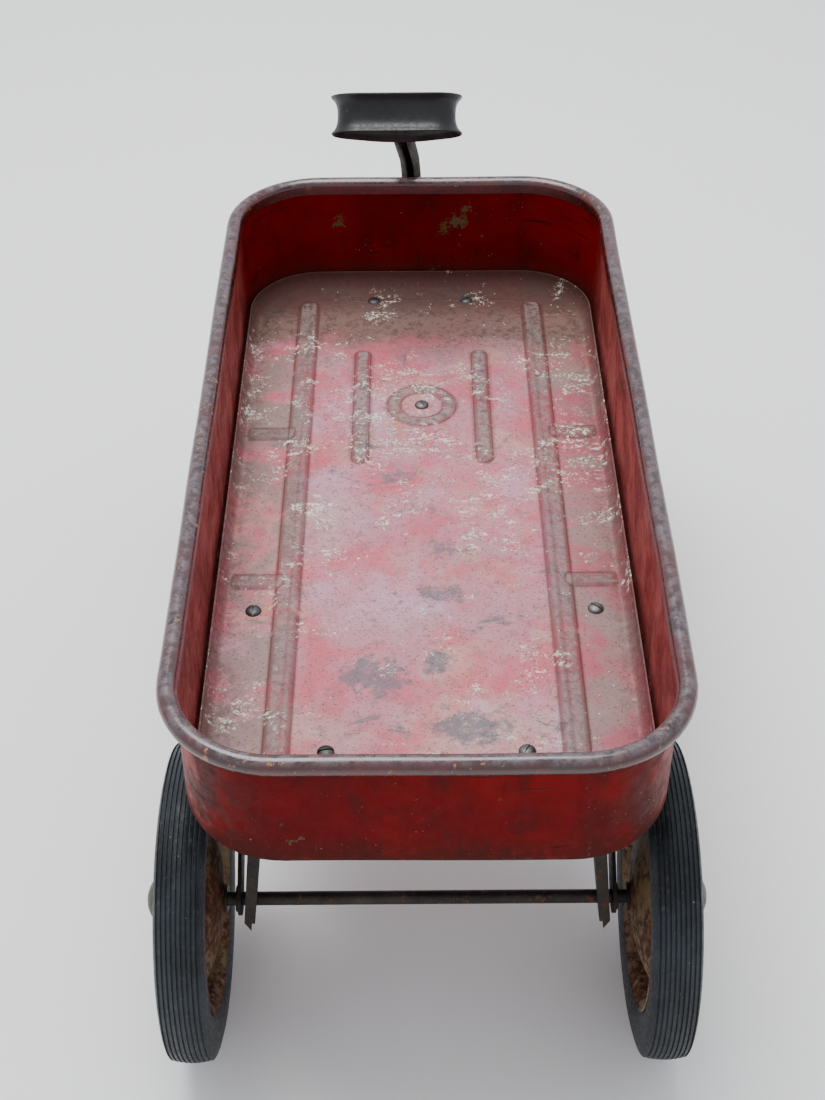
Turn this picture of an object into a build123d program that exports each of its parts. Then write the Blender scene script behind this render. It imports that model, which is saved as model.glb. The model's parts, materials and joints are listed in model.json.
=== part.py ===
from build123d import *
import math
import os

# A child's pressed-steel coaster wagon with a fold-back pull handle.
# Millimetres. +X is the wagon's right, +Y its front, +Z up. While it is drawn, Y = 0 is the rear edge
# of the rolled rim and Z = 0 the ground. At the end every piece is moved along Y, so that the origin
# is on the ground under the middle of the whole wagon.

# ---- driving dimensions ----
BODY_LENGTH = 815.0        # over the rolled rim
BODY_WIDTH = 382.0
RIM_TOP = 390.0            # above the ground
RIM_RADIUS = 7.4           # of the rolled bead
RIM_CORNER = 88.0          # corner radius of the rim's outer edge, seen from above
TUB_BOTTOM = 265.5
SHEET = 1.2                # body steel

WHEEL_RADIUS = 127.0
TYRE_WIDTH = 37.7
WHEEL_X = 185.4            # middle of the tyre
REAR_AXLE_Y = 98.0
KINGPIN_Y = 690.0          # the front axle is straight below it
AXLE_RADIUS = 5.55
AXLE_HALF_LENGTH = 217.0
RUNNING_CLEARANCE = 0.06

PIVOT_Y = 893.0            # the tongue's hinge pin
TONGUE_LEAN = 2.35         # degrees that the bent hinge lets the tongue lean to the left
TONGUE_YAW = 1.5           # degrees that its far end points to the left

# ---- body ----
WALL_INSET = 12.4          # from the rim's outer edge to the wall's outer face
WALL_INTO_RIM = 3.0        # the wall runs up to this far below the rim's middle
WALL_BOTTOM_BEND = 18.0
SEAT_WIDTH = 43.0          # bottom turned in under the floor, from the wall's outer face
RIM_GAUGE = 1.4

# ---- floor pan ----
PAN_GAP = 3.5              # between the pan's upturned edge and the wall
PAN_BEND = 15.0
PAN_LIP = 19.5             # height of the upturned edge
BEAD_HEIGHT = 2.6
LONG_BEAD_X = 115.5
LONG_BEAD_WIDTH = 18.0
FRONT_STEP_Y = 767.0
CROSS_RIB_Y = (322.0, 533.0)
CROSS_RIB_WIDTH = 15.0
SHORT_BEAD_X = 58.0
SHORT_BEAD_Y = 579.0
SHORT_BEAD_LENGTH = 182.0
SHORT_BEAD_WIDTH = 13.0
BOSS_Y = 578.0
BOSS_RADIUS = 32.0

# ---- fasteners through the floor ----
TAIL_BOLT = [(0.0, BOSS_Y)]
FRONT_BOLTS = [(-48.0, 766.0), (48.0, 766.0)]
SIDE_BOLTS = [(-143.0, 285.0), (143.0, 285.0)]
REAR_BOLTS = [(-77.0, 124.0), (77.0, 124.0)]
BOLT_RADIUS = 3.1
BOLT_HEAD_RADIUS = 6.8
BOLT_HEAD_HEIGHT = 3.4
NUT_FLATS = 11.1
NUT_HEIGHT = 5.0

# ---- undercarriage ----
STRAP = 3.0                # flat steel of the brackets
BRACKET_TOP_HALF = 122.0   # half width of the rear bracket under the floor
BRACKET_SPLAY = 6.15       # degrees its legs lean outwards
BRACKET_REAR_Y = 78.0
BRACKET_FRONT_Y = 158.0
LEG_END_RADIUS = 20.0
LEG_FLANGE = 11.0
BRACE_X = 148.6            # inner face of the rear brace straps
BRACE_WIDTH = 27.0
BOLSTER_WIDTH = 118.0
BOLSTER_DISC_RADIUS = 55.0
TURNTABLE_TOP = 200.0      # underside of the fixed bolster
WEAR_DISC = 2.3
TURN_GAP = 0.3
FORK_LEG_X = 133.0
FORK_WIDTH = 50.0
KINGPIN_RADIUS = 6.35
ARM_HEIGHT = 24.0
EAR_INNER_X = 15.6
PIN_RADIUS = 4.76
STOP_SETBACK = 8.2         # the tongue's stop stands this far behind the hinge
FORK_TOP = TURNTABLE_TOP - WEAR_DISC - TURN_GAP
KINGPIN_HEAD_FLATS = 19.0
KINGPIN_HEAD_HEIGHT = 8.0
KINGPIN_NUT_HEIGHT = 10.0
KINGPIN_WASHER_RADIUS = 14.0
KINGPIN_WASHER_GAUGE = 2.0
RIVET_RADIUS = 3.0
RIVET_HEAD_RADIUS = 6.0
BRACE_RIVET_Y = KINGPIN_Y + 34.0
EAR_LENGTH = 14.0          # of the draft arms, past the hinge pin
HINGE_HEX_APOTHEM = 7.1    # half the flats of the hinge pin's head and nut
HINGE_HEAD_HEIGHT = 5.6
HINGE_NUT_HEIGHT = 6.5

# ---- tongue and grip, in the tongue's own plane ----
SHAFT_RADIUS = 10.5
SHAFT_WALL = 1.8
SHAFT_SLOT = 10.0          # open seam along the side that faces the wagon
EYE_RADIUS = 11.5          # cross tube at its foot
SHAFT_LOWER = 166.0        # straight length above the hinge
SHAFT_START = 97.0         # degrees from the backward horizontal
SHAFT_END = 36.4
SHAFT_BEND = 95.0          # radius at the middle of the tube
SHAFT_UPPER = 197.0
GRIP_PITCH = 33.0          # degrees that the grip's loop slopes down towards the shaft
GRIP_WIDTH = 107.5         # at the band's waist
GRIP_DEPTH = 80.0
GRIP_BAND = 32.4           # height of the band
GRIP_FLARE = 5.7           # how far its edges stand out
GRIP_GAUGE = 1.6
GRIP_CORNER = 20.0         # bends at the far bar
GRIP_SIDE = 44.0           # straight flanks before they draw in
GRIP_SIDE_BEND = 38.0
GRIP_APEX = 15.0
GRIP_APEX_BEND = 28.0
SHAFT_IN_GRIP = 6.0        # the shaft's end stands this far inside the loop
COLLAR_LENGTH = 9.0

# ---- wheels ----
TYRE_SEAT_RADIUS = 84.0
FLANGE_RADIUS = 90.5
DISC_GAUGE = 1.4
HUB_RADIUS = 9.5
HUB_INNER_END = 23.0       # inward from the tyre's middle
HUB_OUTER_END = 22.0
CAP_RADIUS = 21.7
CAP_REACH = 39.9           # outward from the tyre's middle
CAP_FOOT = 19.7            # where the cap's edge meets the disc
CAP_GAUGE = 1.0
COTTER_RADIUS = 1.3
COTTER_X = WHEEL_X + HUB_OUTER_END + 4.2
COTTER_EYE_RADIUS = 2.6
WASHER_RADIUS = 11.5       # between the disc and the bracket
OUTER_WASHER_RADIUS = 9.5
BRACKET_WASHER_RADIUS = 10.5
WASHER_GAUGE = 1.8
SHOULDER_RADIUS = 125.2    # where the tyre's tread turns into its shoulder
TREAD_GROOVES = 7
GROOVE_PITCH = 4.6
GROOVE_WIDTH = 1.2
GROOVE_DEPTH = 1.6

parts = {}


def rounded_plan(inset, z):
    """The body's outline seen from above, inset from the rim's outer edge, at height z."""
    corner = RIM_CORNER - inset
    outline = RectangleRounded(BODY_WIDTH - 2 * inset, BODY_LENGTH - 2 * inset, corner)
    return Pos(0, BODY_LENGTH / 2, z) * outline


def prism(points, plane, start, length):
    """A straight-sided solid: an outline drawn on a plane, extruded from start over length."""
    face = make_face(Polyline(*points, close=True))
    shape = extrude(face, amount=length)
    if plane == "YZ":
        return Pos(start, 0, 0) * (Plane.YZ.location * shape)
    if plane == "XZ":
        return Pos(0, start + length, 0) * (Plane.XZ.location * shape)
    return Pos(0, 0, start) * shape


def cylinder_x(radius, x0, x1, y, z):
    """A round bar along X between x0 and x1."""
    bar = Rot(0, 90, 0) * Cylinder(radius, abs(x1 - x0))
    return Pos((x0 + x1) / 2, y, z) * bar


def cylinder_z(radius, x, y, z0, z1):
    """A round bar along Z between z0 and z1."""
    return Pos(x, y, (z0 + z1) / 2) * Cylinder(radius, z1 - z0)


def hexagon_z(flats, x, y, z0, z1):
    """A hexagonal bar along Z."""
    outline = Rot(0, 0, 30) * RegularPolygon(flats / 2, 6, major_radius=False)
    return Pos(x, y, z0) * extrude(outline, amount=z1 - z0)


def save(name, shape):
    """Keep a sub-part under its node name."""
    parts[name] = shape


# ---------------------------------------------------------------- body shell
def tub_block(inset, bottom, top, bend):
    """A solid block with the tub's outline and rounded bottom edge."""
    block = extrude(rounded_plan(inset, bottom), amount=top - bottom)
    bottom_edges = block.faces().sort_by(Axis.Z)[0].edges()
    return fillet(bottom_edges, bend)


def make_body_shell():
    """One band of sheet steel: rolled rim, straight wall and a bottom turned in under the floor."""
    bead_z = RIM_TOP - RIM_RADIUS
    wall_top = bead_z - WALL_INTO_RIM
    outer = tub_block(WALL_INSET, TUB_BOTTOM, wall_top, WALL_BOTTOM_BEND)
    inner = tub_block(WALL_INSET + SHEET, TUB_BOTTOM + SHEET, wall_top + 5, WALL_BOTTOM_BEND - SHEET)
    window = extrude(rounded_plan(WALL_INSET + SEAT_WIDTH, TUB_BOTTOM - 5), amount=10)
    wall = outer - inner - window

    path = rounded_plan(RIM_RADIUS, bead_z).wires()[0]
    start = path @ 0
    section_plane = Plane(origin=start, z_dir=path % 0)
    ring = Circle(RIM_RADIUS) - Circle(RIM_RADIUS - RIM_GAUGE)
    bead = sweep(section_plane * ring, path=path)
    shell = wall + bead
    for x, y in FRONT_BOLTS + SIDE_BOLTS:
        shell = shell - cylinder_z(BOLT_RADIUS, x, y, TUB_BOTTOM - 2, TUB_BOTTOM + 2)
    return shell


# ---------------------------------------------------------------- floor pan
def slot_plan(width, length, x, y, along_y=True):
    """A long rounded outline for a pressed bead."""
    outline = RectangleRounded(width, length, width / 2 - 0.1)
    if not along_y:
        outline = Rot(0, 0, 90) * outline
    return Pos(x, y) * outline


def make_floor_pan():
    """The pressed floor: an upturned edge all round, long beads, ribs and the boss of the tail bolt."""
    bottom = TUB_BOTTOM + SHEET
    top = bottom + SHEET
    inset = WALL_INSET + SHEET + PAN_GAP
    outer = extrude(rounded_plan(inset, bottom), amount=PAN_LIP)
    outer = fillet(outer.faces().sort_by(Axis.Z)[0].edges(), PAN_BEND)
    inner = extrude(rounded_plan(inset + SHEET, top), amount=PAN_LIP)
    inner = fillet(inner.faces().sort_by(Axis.Z)[0].edges(), PAN_BEND - SHEET)
    pan = outer - inner

    bead_rear = inset + PAN_BEND + 8
    bead_length = FRONT_STEP_Y - bead_rear
    presses = []
    for side in (-1, 1):
        middle = bead_rear + bead_length / 2
        presses.append(slot_plan(LONG_BEAD_WIDTH, bead_length, side * LONG_BEAD_X, middle))
        presses.append(slot_plan(SHORT_BEAD_WIDTH, SHORT_BEAD_LENGTH, side * SHORT_BEAD_X, SHORT_BEAD_Y))
        for rib_y in CROSS_RIB_Y:
            rib_x = side * (LONG_BEAD_X + LONG_BEAD_WIDTH / 2 + 22)
            presses.append(slot_plan(CROSS_RIB_WIDTH, 36, rib_x, rib_y, along_y=False))
    ring = Pos(0, BOSS_Y) * (Circle(BOSS_RADIUS) - Circle(BOSS_RADIUS - 10))
    presses.append(ring)
    for outline in presses:
        raised = extrude(Pos(0, 0, top) * outline, amount=BEAD_HEIGHT, taper=35)
        hollow = Pos(0, 0, -SHEET) * raised
        pan = pan + raised
        pan = pan - hollow
    for x, y in TAIL_BOLT + FRONT_BOLTS + SIDE_BOLTS + REAR_BOLTS:
        pan = pan - cylinder_z(BOLT_RADIUS, x, y, bottom - 2, top + 2)
    return pan


# ---------------------------------------------------------------- floor bolts and nuts
def make_floor_bolts():
    """Slotted round-headed bolts: three hold the bolster, four the rear gear."""
    head_seat = TUB_BOTTOM + 2 * SHEET
    dome_radius = (BOLT_HEAD_RADIUS ** 2 + BOLT_HEAD_HEIGHT ** 2) / (2 * BOLT_HEAD_HEIGHT)
    bolts = []
    for x, y in TAIL_BOLT + FRONT_BOLTS + SIDE_BOLTS + REAR_BOLTS:
        ball = Pos(x, y, head_seat + BOLT_HEAD_HEIGHT - dome_radius) * Sphere(dome_radius)
        block = cylinder_z(BOLT_HEAD_RADIUS + 2, x, y, head_seat, head_seat + 10)
        slot = Pos(x, y, head_seat + BOLT_HEAD_HEIGHT) * Box(2 * BOLT_HEAD_RADIUS + 4, 1.5, 2.4)
        head = (ball & block) - slot
        shank = cylinder_z(BOLT_RADIUS, x, y, TUB_BOTTOM - STRAP - NUT_HEIGHT - 3, head_seat + 0.5)
        bolts.append(head + shank)
    return Compound(children=bolts)


def make_floor_nuts():
    """A hexagon nut under each floor bolt, against the bracket it clamps."""
    nuts = []
    for x, y in TAIL_BOLT + FRONT_BOLTS + SIDE_BOLTS + REAR_BOLTS:
        top = TUB_BOTTOM + SHEET - STRAP
        if (x, y) in SIDE_BOLTS + FRONT_BOLTS:
            top = TUB_BOTTOM - STRAP
        nut = hexagon_z(NUT_FLATS, x, y, top - NUT_HEIGHT, top)
        nuts.append(nut - cylinder_z(BOLT_RADIUS, x, y, top - NUT_HEIGHT - 1, top + 1))
    return Compound(children=nuts)


# ---------------------------------------------------------------- rear gear
def make_rear_bracket():
    """Inverted U of strap under the floor; its splayed legs hang the axle, with a flange at the rear."""
    top = TUB_BOTTOM + SHEET
    bottom = WHEEL_RADIUS - LEG_END_RADIUS
    drop = top - bottom
    spread = drop * math.tan(math.radians(BRACKET_SPLAY))
    foot = BRACKET_TOP_HALF + spread
    depth = BRACKET_FRONT_Y - BRACKET_REAR_Y
    outline = [(-foot - STRAP, bottom), (-BRACKET_TOP_HALF - STRAP, top), (BRACKET_TOP_HALF + STRAP, top),
               (foot + STRAP, bottom), (foot, bottom), (BRACKET_TOP_HALF, top - STRAP),
               (-BRACKET_TOP_HALF, top - STRAP), (-foot, bottom)]
    bent = prism(outline, "XZ", BRACKET_REAR_Y, depth)
    end = cylinder_x(LEG_END_RADIUS, -200, 200, REAR_AXLE_Y, WHEEL_RADIUS)
    side = prism([(BRACKET_REAR_Y, WHEEL_RADIUS), (BRACKET_REAR_Y, top), (BRACKET_FRONT_Y, top),
                  (BRACKET_FRONT_Y, top - 30), (REAR_AXLE_Y + LEG_END_RADIUS, WHEEL_RADIUS)],
                 "YZ", -200, 400)
    bracket = bent & (side + end)
    for sign in (-1, 1):
        flange = prism([(sign * (BRACKET_TOP_HALF + 1), top - 4),
                        (sign * (BRACKET_TOP_HALF + LEG_FLANGE), top - 8),
                        (sign * (foot + LEG_FLANGE - 4), bottom + 14),
                        (sign * (foot + 2), bottom + 4)],
                       "XZ", BRACKET_REAR_Y, STRAP)
        bracket = bracket + flange
    bracket = bracket - cylinder_x(AXLE_RADIUS, -200, 200, REAR_AXLE_Y, WHEEL_RADIUS)
    for x, y in REAR_BOLTS:
        bracket = bracket - cylinder_z(BOLT_RADIUS, x, y, top - 10, top + 2)
    return bracket


def make_rear_brace(sign):
    """Flat strap from the axle up to the side bolt, with a tab turned in under the floor."""
    bolt_y = SIDE_BOLTS[0][1]
    half = BRACE_WIDTH / 2
    rise = TUB_BOTTOM - WHEEL_RADIUS
    run = bolt_y - 18 - REAR_AXLE_Y
    length = math.hypot(rise, run)
    across_y = -half * rise / length
    across_z = half * run / length
    points = [(REAR_AXLE_Y - across_y, WHEEL_RADIUS - across_z),
              (REAR_AXLE_Y + across_y, WHEEL_RADIUS + across_z),
              (bolt_y - 30, TUB_BOTTOM), (bolt_y + 14, TUB_BOTTOM), (bolt_y + 14, TUB_BOTTOM - 6)]
    inner = BRACE_X
    strap = prism(points, "YZ", inner, STRAP)
    strap = strap + cylinder_x(half, inner, inner + STRAP, REAR_AXLE_Y, WHEEL_RADIUS)
    tab = Pos(inner + STRAP - 12, bolt_y, TUB_BOTTOM - STRAP / 2) * Box(24, 28, STRAP)
    strap = strap + tab
    strap = strap - cylinder_x(AXLE_RADIUS, 0, 300, REAR_AXLE_Y, WHEEL_RADIUS)
    strap = strap - cylinder_z(BOLT_RADIUS, SIDE_BOLTS[1][0], bolt_y, TUB_BOTTOM - 10, TUB_BOTTOM + 2)
    if sign < 0:
        strap = mirror(strap, Plane.YZ)
    return strap


def make_axle(y):
    """Cold-rolled rod with a cross hole near each end for its split pin."""
    axle = cylinder_x(AXLE_RADIUS, -AXLE_HALF_LENGTH, AXLE_HALF_LENGTH, y, WHEEL_RADIUS)
    axle = chamfer(axle.edges().filter_by(GeomType.CIRCLE), 0.8)
    for sign in (-1, 1):
        axle = axle - cylinder_z(COTTER_RADIUS, sign * COTTER_X, y, WHEEL_RADIUS - 10, WHEEL_RADIUS + 10)
    return axle


def make_cotters(y):
    """A split pin at each end of the axle: shank with bent-out legs and a round eye."""
    pins = []
    for sign in (-1, 1):
        x = sign * COTTER_X
        shank = cylinder_z(COTTER_RADIUS, x, y, WHEEL_RADIUS - 8.5, WHEEL_RADIUS + 7.4)
        eye = Pos(x, y, WHEEL_RADIUS + 9.6) * (Rot(0, 90, 0) * Torus(COTTER_EYE_RADIUS, 1.1))
        leg = Pos(x, y, WHEEL_RADIUS - 8.0) * (Rot(60, 0, 0) * Pos(0, 0, -3) * Cylinder(0.9, 6))
        pins.append(shank + eye + leg)
    return Compound(children=pins)


def ring_x(outer, inner, x0, x1, y):
    """A washer or spacer on the axle."""
    return (cylinder_x(outer, x0, x1, y, WHEEL_RADIUS)
            - cylinder_x(inner, x0 - 1, x1 + 1, y, WHEEL_RADIUS))


def make_axle_washers(y, bracket_face):
    """Washers each side of both hubs and one against the bracket, all pushed tight on the axle."""
    hub_inner = WHEEL_X - HUB_INNER_END
    hub_outer = WHEEL_X + HUB_OUTER_END
    rings = []
    for sign in (-1, 1):
        bracket_end = bracket_face + WASHER_GAUGE
        bracket_washer = ring_x(BRACKET_WASHER_RADIUS, AXLE_RADIUS, bracket_face, bracket_end, y)
        inner_washer = ring_x(WASHER_RADIUS, AXLE_RADIUS, hub_inner - 2.2, hub_inner - 0.3, y)
        outer_start = hub_outer + 0.3
        outer_washer = ring_x(OUTER_WASHER_RADIUS, AXLE_RADIUS, outer_start, outer_start + WASHER_GAUGE, y)
        for piece in (bracket_washer, inner_washer, outer_washer):
            if sign < 0:
                piece = mirror(piece, Plane.YZ)
            rings.append(piece)
    return Compound(children=rings)


# ---------------------------------------------------------------- front gear
def make_front_bolster():
    """Hat-shaped strap bolted to the floor at three points; its flat bottom carries the turntable."""
    top = TUB_BOTTOM + SHEET
    low = TURNTABLE_TOP
    rear = BOSS_Y - 18
    front = FRONT_BOLTS[0][1] + 16
    rear_foot = BOSS_Y + 22
    front_foot = FRONT_BOLTS[0][1] - 12
    flat_rear = KINGPIN_Y - BOLSTER_DISC_RADIUS + 5
    flat_front = KINGPIN_Y + BOLSTER_DISC_RADIUS - 5
    gauge = STRAP
    front_top = TUB_BOTTOM
    outline = [(rear, top), (rear_foot, top), (flat_rear + 1.5, low + gauge), (flat_front - 1.5, low + gauge),
               (front_foot, front_top), (front, front_top), (front, front_top - gauge),
               (front_foot + 2.0, front_top - gauge),
               (flat_front, low), (flat_rear, low), (rear_foot - 2.0, top - gauge), (rear, top - gauge)]
    bent = prism(outline, "YZ", -BOLSTER_WIDTH / 2, BOLSTER_WIDTH)
    half = BOLSTER_WIDTH / 2
    plan = [(-24, rear), (24, rear), (30, rear_foot), (half, KINGPIN_Y - 30), (half, KINGPIN_Y + 40),
            (half + 8, front_foot), (half + 8, front), (-half - 8, front), (-half - 8, front_foot),
            (-half, KINGPIN_Y + 40), (-half, KINGPIN_Y - 30), (-30, rear_foot)]
    bolster = bent & prism(plan, "XY", low - 5, top - low + 10)
    for sign in (-1, 1):
        lip = prism([(flat_rear + 12, low + 1), (flat_front - 12, low + 1),
                     (flat_front - 12, low + 14), (flat_rear + 12, low + 14)],
                    "YZ", sign * (half - STRAP / 2) - STRAP / 2, STRAP)
        bolster = bolster + lip
    bolster = bolster - cylinder_z(KINGPIN_RADIUS, 0, KINGPIN_Y, low - 5, low + 10)
    for x, y in TAIL_BOLT + FRONT_BOLTS:
        bolster = bolster - cylinder_z(BOLT_RADIUS, x, y, top - 10, top + 2)
    return bolster


def make_wear_disc():
    """Round steel rubbing plate between the bolster and the fork."""
    disc = cylinder_z(BOLSTER_DISC_RADIUS - 7, 0, KINGPIN_Y, TURNTABLE_TOP - WEAR_DISC, TURNTABLE_TOP)
    return disc - cylinder_z(KINGPIN_RADIUS, 0, KINGPIN_Y, TURNTABLE_TOP - 10, TURNTABLE_TOP + 10)


def make_kingpin():
    """Half-inch bolt, head up inside the bolster, on which the front gear turns."""
    nut_end = FORK_TOP - STRAP - TURN_GAP - KINGPIN_WASHER_GAUGE - KINGPIN_NUT_HEIGHT
    shank = cylinder_z(KINGPIN_RADIUS, 0, KINGPIN_Y, nut_end - 3, TURNTABLE_TOP + STRAP + 1)
    head_foot = TURNTABLE_TOP + STRAP
    head = hexagon_z(KINGPIN_HEAD_FLATS, 0, KINGPIN_Y, head_foot, head_foot + KINGPIN_HEAD_HEIGHT)
    return shank + head


def make_kingpin_washer():
    """Washer that carries the fork's web when the wagon is lifted."""
    top = FORK_TOP - STRAP - TURN_GAP
    ring = cylinder_z(KINGPIN_WASHER_RADIUS, 0, KINGPIN_Y, top - KINGPIN_WASHER_GAUGE, top)
    return ring - cylinder_z(KINGPIN_RADIUS, 0, KINGPIN_Y, top - 5, top + 5)


def make_kingpin_nut():
    """Locking nut on the kingpin."""
    top = FORK_TOP - STRAP - TURN_GAP - KINGPIN_WASHER_GAUGE
    nut = hexagon_z(KINGPIN_HEAD_FLATS, 0, KINGPIN_Y, top - KINGPIN_NUT_HEIGHT, top)
    return nut - cylinder_z(KINGPIN_RADIUS, 0, KINGPIN_Y, top - 12, top + 2)


def make_front_fork():
    """Inverted U of strap: the web turns under the bolster, the legs hold the front axle."""
    top = FORK_TOP
    bottom = WHEEL_RADIUS - LEG_END_RADIUS
    outer = FORK_LEG_X + STRAP
    outline = [(-outer, bottom), (-outer, top), (outer, top), (outer, bottom), (FORK_LEG_X, bottom),
               (FORK_LEG_X, top - STRAP), (-FORK_LEG_X, top - STRAP), (-FORK_LEG_X, bottom)]
    bent = prism(outline, "XZ", KINGPIN_Y - FORK_WIDTH / 2, FORK_WIDTH)
    end = cylinder_x(LEG_END_RADIUS, -200, 200, KINGPIN_Y, WHEEL_RADIUS)
    half = FORK_WIDTH / 2
    side = prism([(KINGPIN_Y - LEG_END_RADIUS, WHEEL_RADIUS), (KINGPIN_Y - half, top), (KINGPIN_Y + half, top),
                  (KINGPIN_Y + LEG_END_RADIUS, WHEEL_RADIUS)], "YZ", -200, 400)
    fork = bent & (side + end)
    fork = fork + cylinder_z(BOLSTER_DISC_RADIUS - 5, 0, KINGPIN_Y, top - STRAP, top)
    for sign in (-1, 1):
        for edge in (-1, 1):
            lip_y = KINGPIN_Y + edge * (half - STRAP / 2)
            lip = Pos(sign * 88, lip_y, top - 7) * Box(86, STRAP, 14)
            fork = fork + lip
    fork = fork - cylinder_x(AXLE_RADIUS, -200, 200, KINGPIN_Y, WHEEL_RADIUS)
    fork = fork - cylinder_z(KINGPIN_RADIUS + RUNNING_CLEARANCE, 0, KINGPIN_Y, top - 10, top + 10)
    fork = fork - cylinder_z(RIVET_RADIUS, 0, BRACE_RIVET_Y, top - 10, top + 10)
    return fork


def tongue_location():
    """Where the tongue's own frame sits: at the hinge, turned by its lean and yaw."""
    return Pos(0, PIVOT_Y, WHEEL_RADIUS) * Rot(0, 0, -TONGUE_YAW) * Rot(0, -TONGUE_LEAN, 0)


def hinge_bar(radius, half_length):
    """A round bar on the tongue's hinge line."""
    return tongue_location() * (Rot(0, 90, 0) * Cylinder(radius, 2 * half_length))


def make_draft_arm(sign):
    """Flat bar on edge, from the axle outside the fork's leg to the ear beside the tongue."""
    outer_x = FORK_LEG_X + STRAP + 0.1
    waist_y = KINGPIN_Y + 30
    neck_y = PIVOT_Y - 36
    front_y = PIVOT_Y + EAR_LENGTH
    rear_y = KINGPIN_Y - 13
    slope = math.hypot(outer_x - EAR_INNER_X, neck_y - waist_y)
    shift = STRAP * (slope - (neck_y - waist_y)) / (outer_x - EAR_INNER_X)
    plan = [(outer_x, rear_y), (outer_x, waist_y), (EAR_INNER_X, neck_y), (EAR_INNER_X, front_y),
            (EAR_INNER_X + STRAP, front_y), (EAR_INNER_X + STRAP, neck_y + shift),
            (outer_x + STRAP, waist_y + shift), (outer_x + STRAP, rear_y)]
    arm = prism(plan, "XY", WHEEL_RADIUS - ARM_HEIGHT / 2, ARM_HEIGHT)
    edges = arm.edges().filter_by(Axis.X)
    arm = fillet(edges.sort_by(Axis.Y)[-2:] + edges.sort_by(Axis.Y)[:2], ARM_HEIGHT / 2 - 0.1)
    arm = arm - cylinder_x(AXLE_RADIUS, outer_x - 1, outer_x + STRAP + 1, KINGPIN_Y, WHEEL_RADIUS)
    if sign < 0:
        arm = mirror(arm, Plane.YZ)
    return arm - hinge_bar(PIN_RADIUS, 40)


def make_drawbar_brace():
    """Strap from the fork's web down to the two arms; its turned-up front lip stops the tongue."""
    top = FORK_TOP - STRAP
    foot = WHEEL_RADIUS + ARM_HEIGHT / 2
    stop_y = PIVOT_Y - STOP_SETBACK
    rear = BRACE_RIVET_Y - 10
    knee = BRACE_RIVET_Y + 12
    heel = PIVOT_Y - 62
    outline = [(rear, top), (knee, top), (heel + 2, foot + STRAP), (stop_y - STRAP, foot + STRAP),
               (stop_y - STRAP, foot + 20), (stop_y, foot + 20), (stop_y, foot), (heel, foot),
               (knee - 2, top - STRAP), (rear, top - STRAP)]
    bent = prism(outline, "YZ", -40, 80)
    plan = [(-13, rear), (13, rear), (13, knee), (34, heel - 10), (24, stop_y - 12), (11, stop_y - 6),
            (11, stop_y), (-11, stop_y), (-11, stop_y - 6), (-24, stop_y - 12), (-34, heel - 10), (-13, knee)]
    brace = bent & prism(plan, "XY", foot - 5, top - foot + 10)
    return brace - cylinder_z(RIVET_RADIUS, 0, BRACE_RIVET_Y, top - 10, top + 10)


def make_brace_rivet():
    """Flush-topped rivet that joins the brace to the fork's web."""
    low = FORK_TOP - 2 * STRAP
    shank = cylinder_z(RIVET_RADIUS, 0, BRACE_RIVET_Y, low - 0.5, FORK_TOP - 0.1)
    head = Pos(0, BRACE_RIVET_Y, low + 2.2) * Sphere(RIVET_HEAD_RADIUS)
    block = cylinder_z(8, 0, BRACE_RIVET_Y, low - 8, low)
    return shank + (head & block)


def make_hinge_pin():
    """Bolt through both ears and the tongue's eye, head on the left."""
    reach = EAR_INNER_X + STRAP
    bar = Pos(2, 0, 0) * (Rot(0, 90, 0) * Cylinder(PIN_RADIUS, 2 * reach + 14))
    outline = RegularPolygon(HINGE_HEX_APOTHEM, 6, major_radius=False)
    head_start = -reach - 1.2 - HINGE_HEAD_HEIGHT
    head = Pos(head_start, 0, 0) * (Rot(0, 90, 0) * extrude(outline, amount=HINGE_HEAD_HEIGHT))
    return tongue_location() * (bar + head)


def make_hinge_nut():
    """Nut on the hinge pin."""
    reach = EAR_INNER_X + STRAP
    outline = RegularPolygon(HINGE_HEX_APOTHEM, 6, major_radius=False)
    nut = Pos(reach + 1.2, 0, 0) * (Rot(0, 90, 0) * extrude(outline, amount=HINGE_NUT_HEIGHT))
    bore = Rot(0, 90, 0) * Cylinder(PIN_RADIUS, 100)
    return tongue_location() * (nut - bore)


# ---------------------------------------------------------------- tongue
def shaft_points():
    """Ends of the straights and the bend of the tongue's tube, in its own plane as (forward, up)."""
    start = math.radians(SHAFT_START)
    finish = math.radians(SHAFT_END)
    lower = (-SHAFT_LOWER * math.cos(start), SHAFT_LOWER * math.sin(start))
    centre = (lower[0] - SHAFT_BEND * math.sin(start), lower[1] - SHAFT_BEND * math.cos(start))
    bend_end = (centre[0] + SHAFT_BEND * math.sin(finish), centre[1] + SHAFT_BEND * math.cos(finish))
    upper = (bend_end[0] - SHAFT_UPPER * math.cos(finish), bend_end[1] + SHAFT_UPPER * math.sin(finish))
    middle_angle = (start + finish) / 2
    middle = (centre[0] + SHAFT_BEND * math.sin(middle_angle), centre[1] + SHAFT_BEND * math.cos(middle_angle))
    return lower, middle, bend_end, upper


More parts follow.
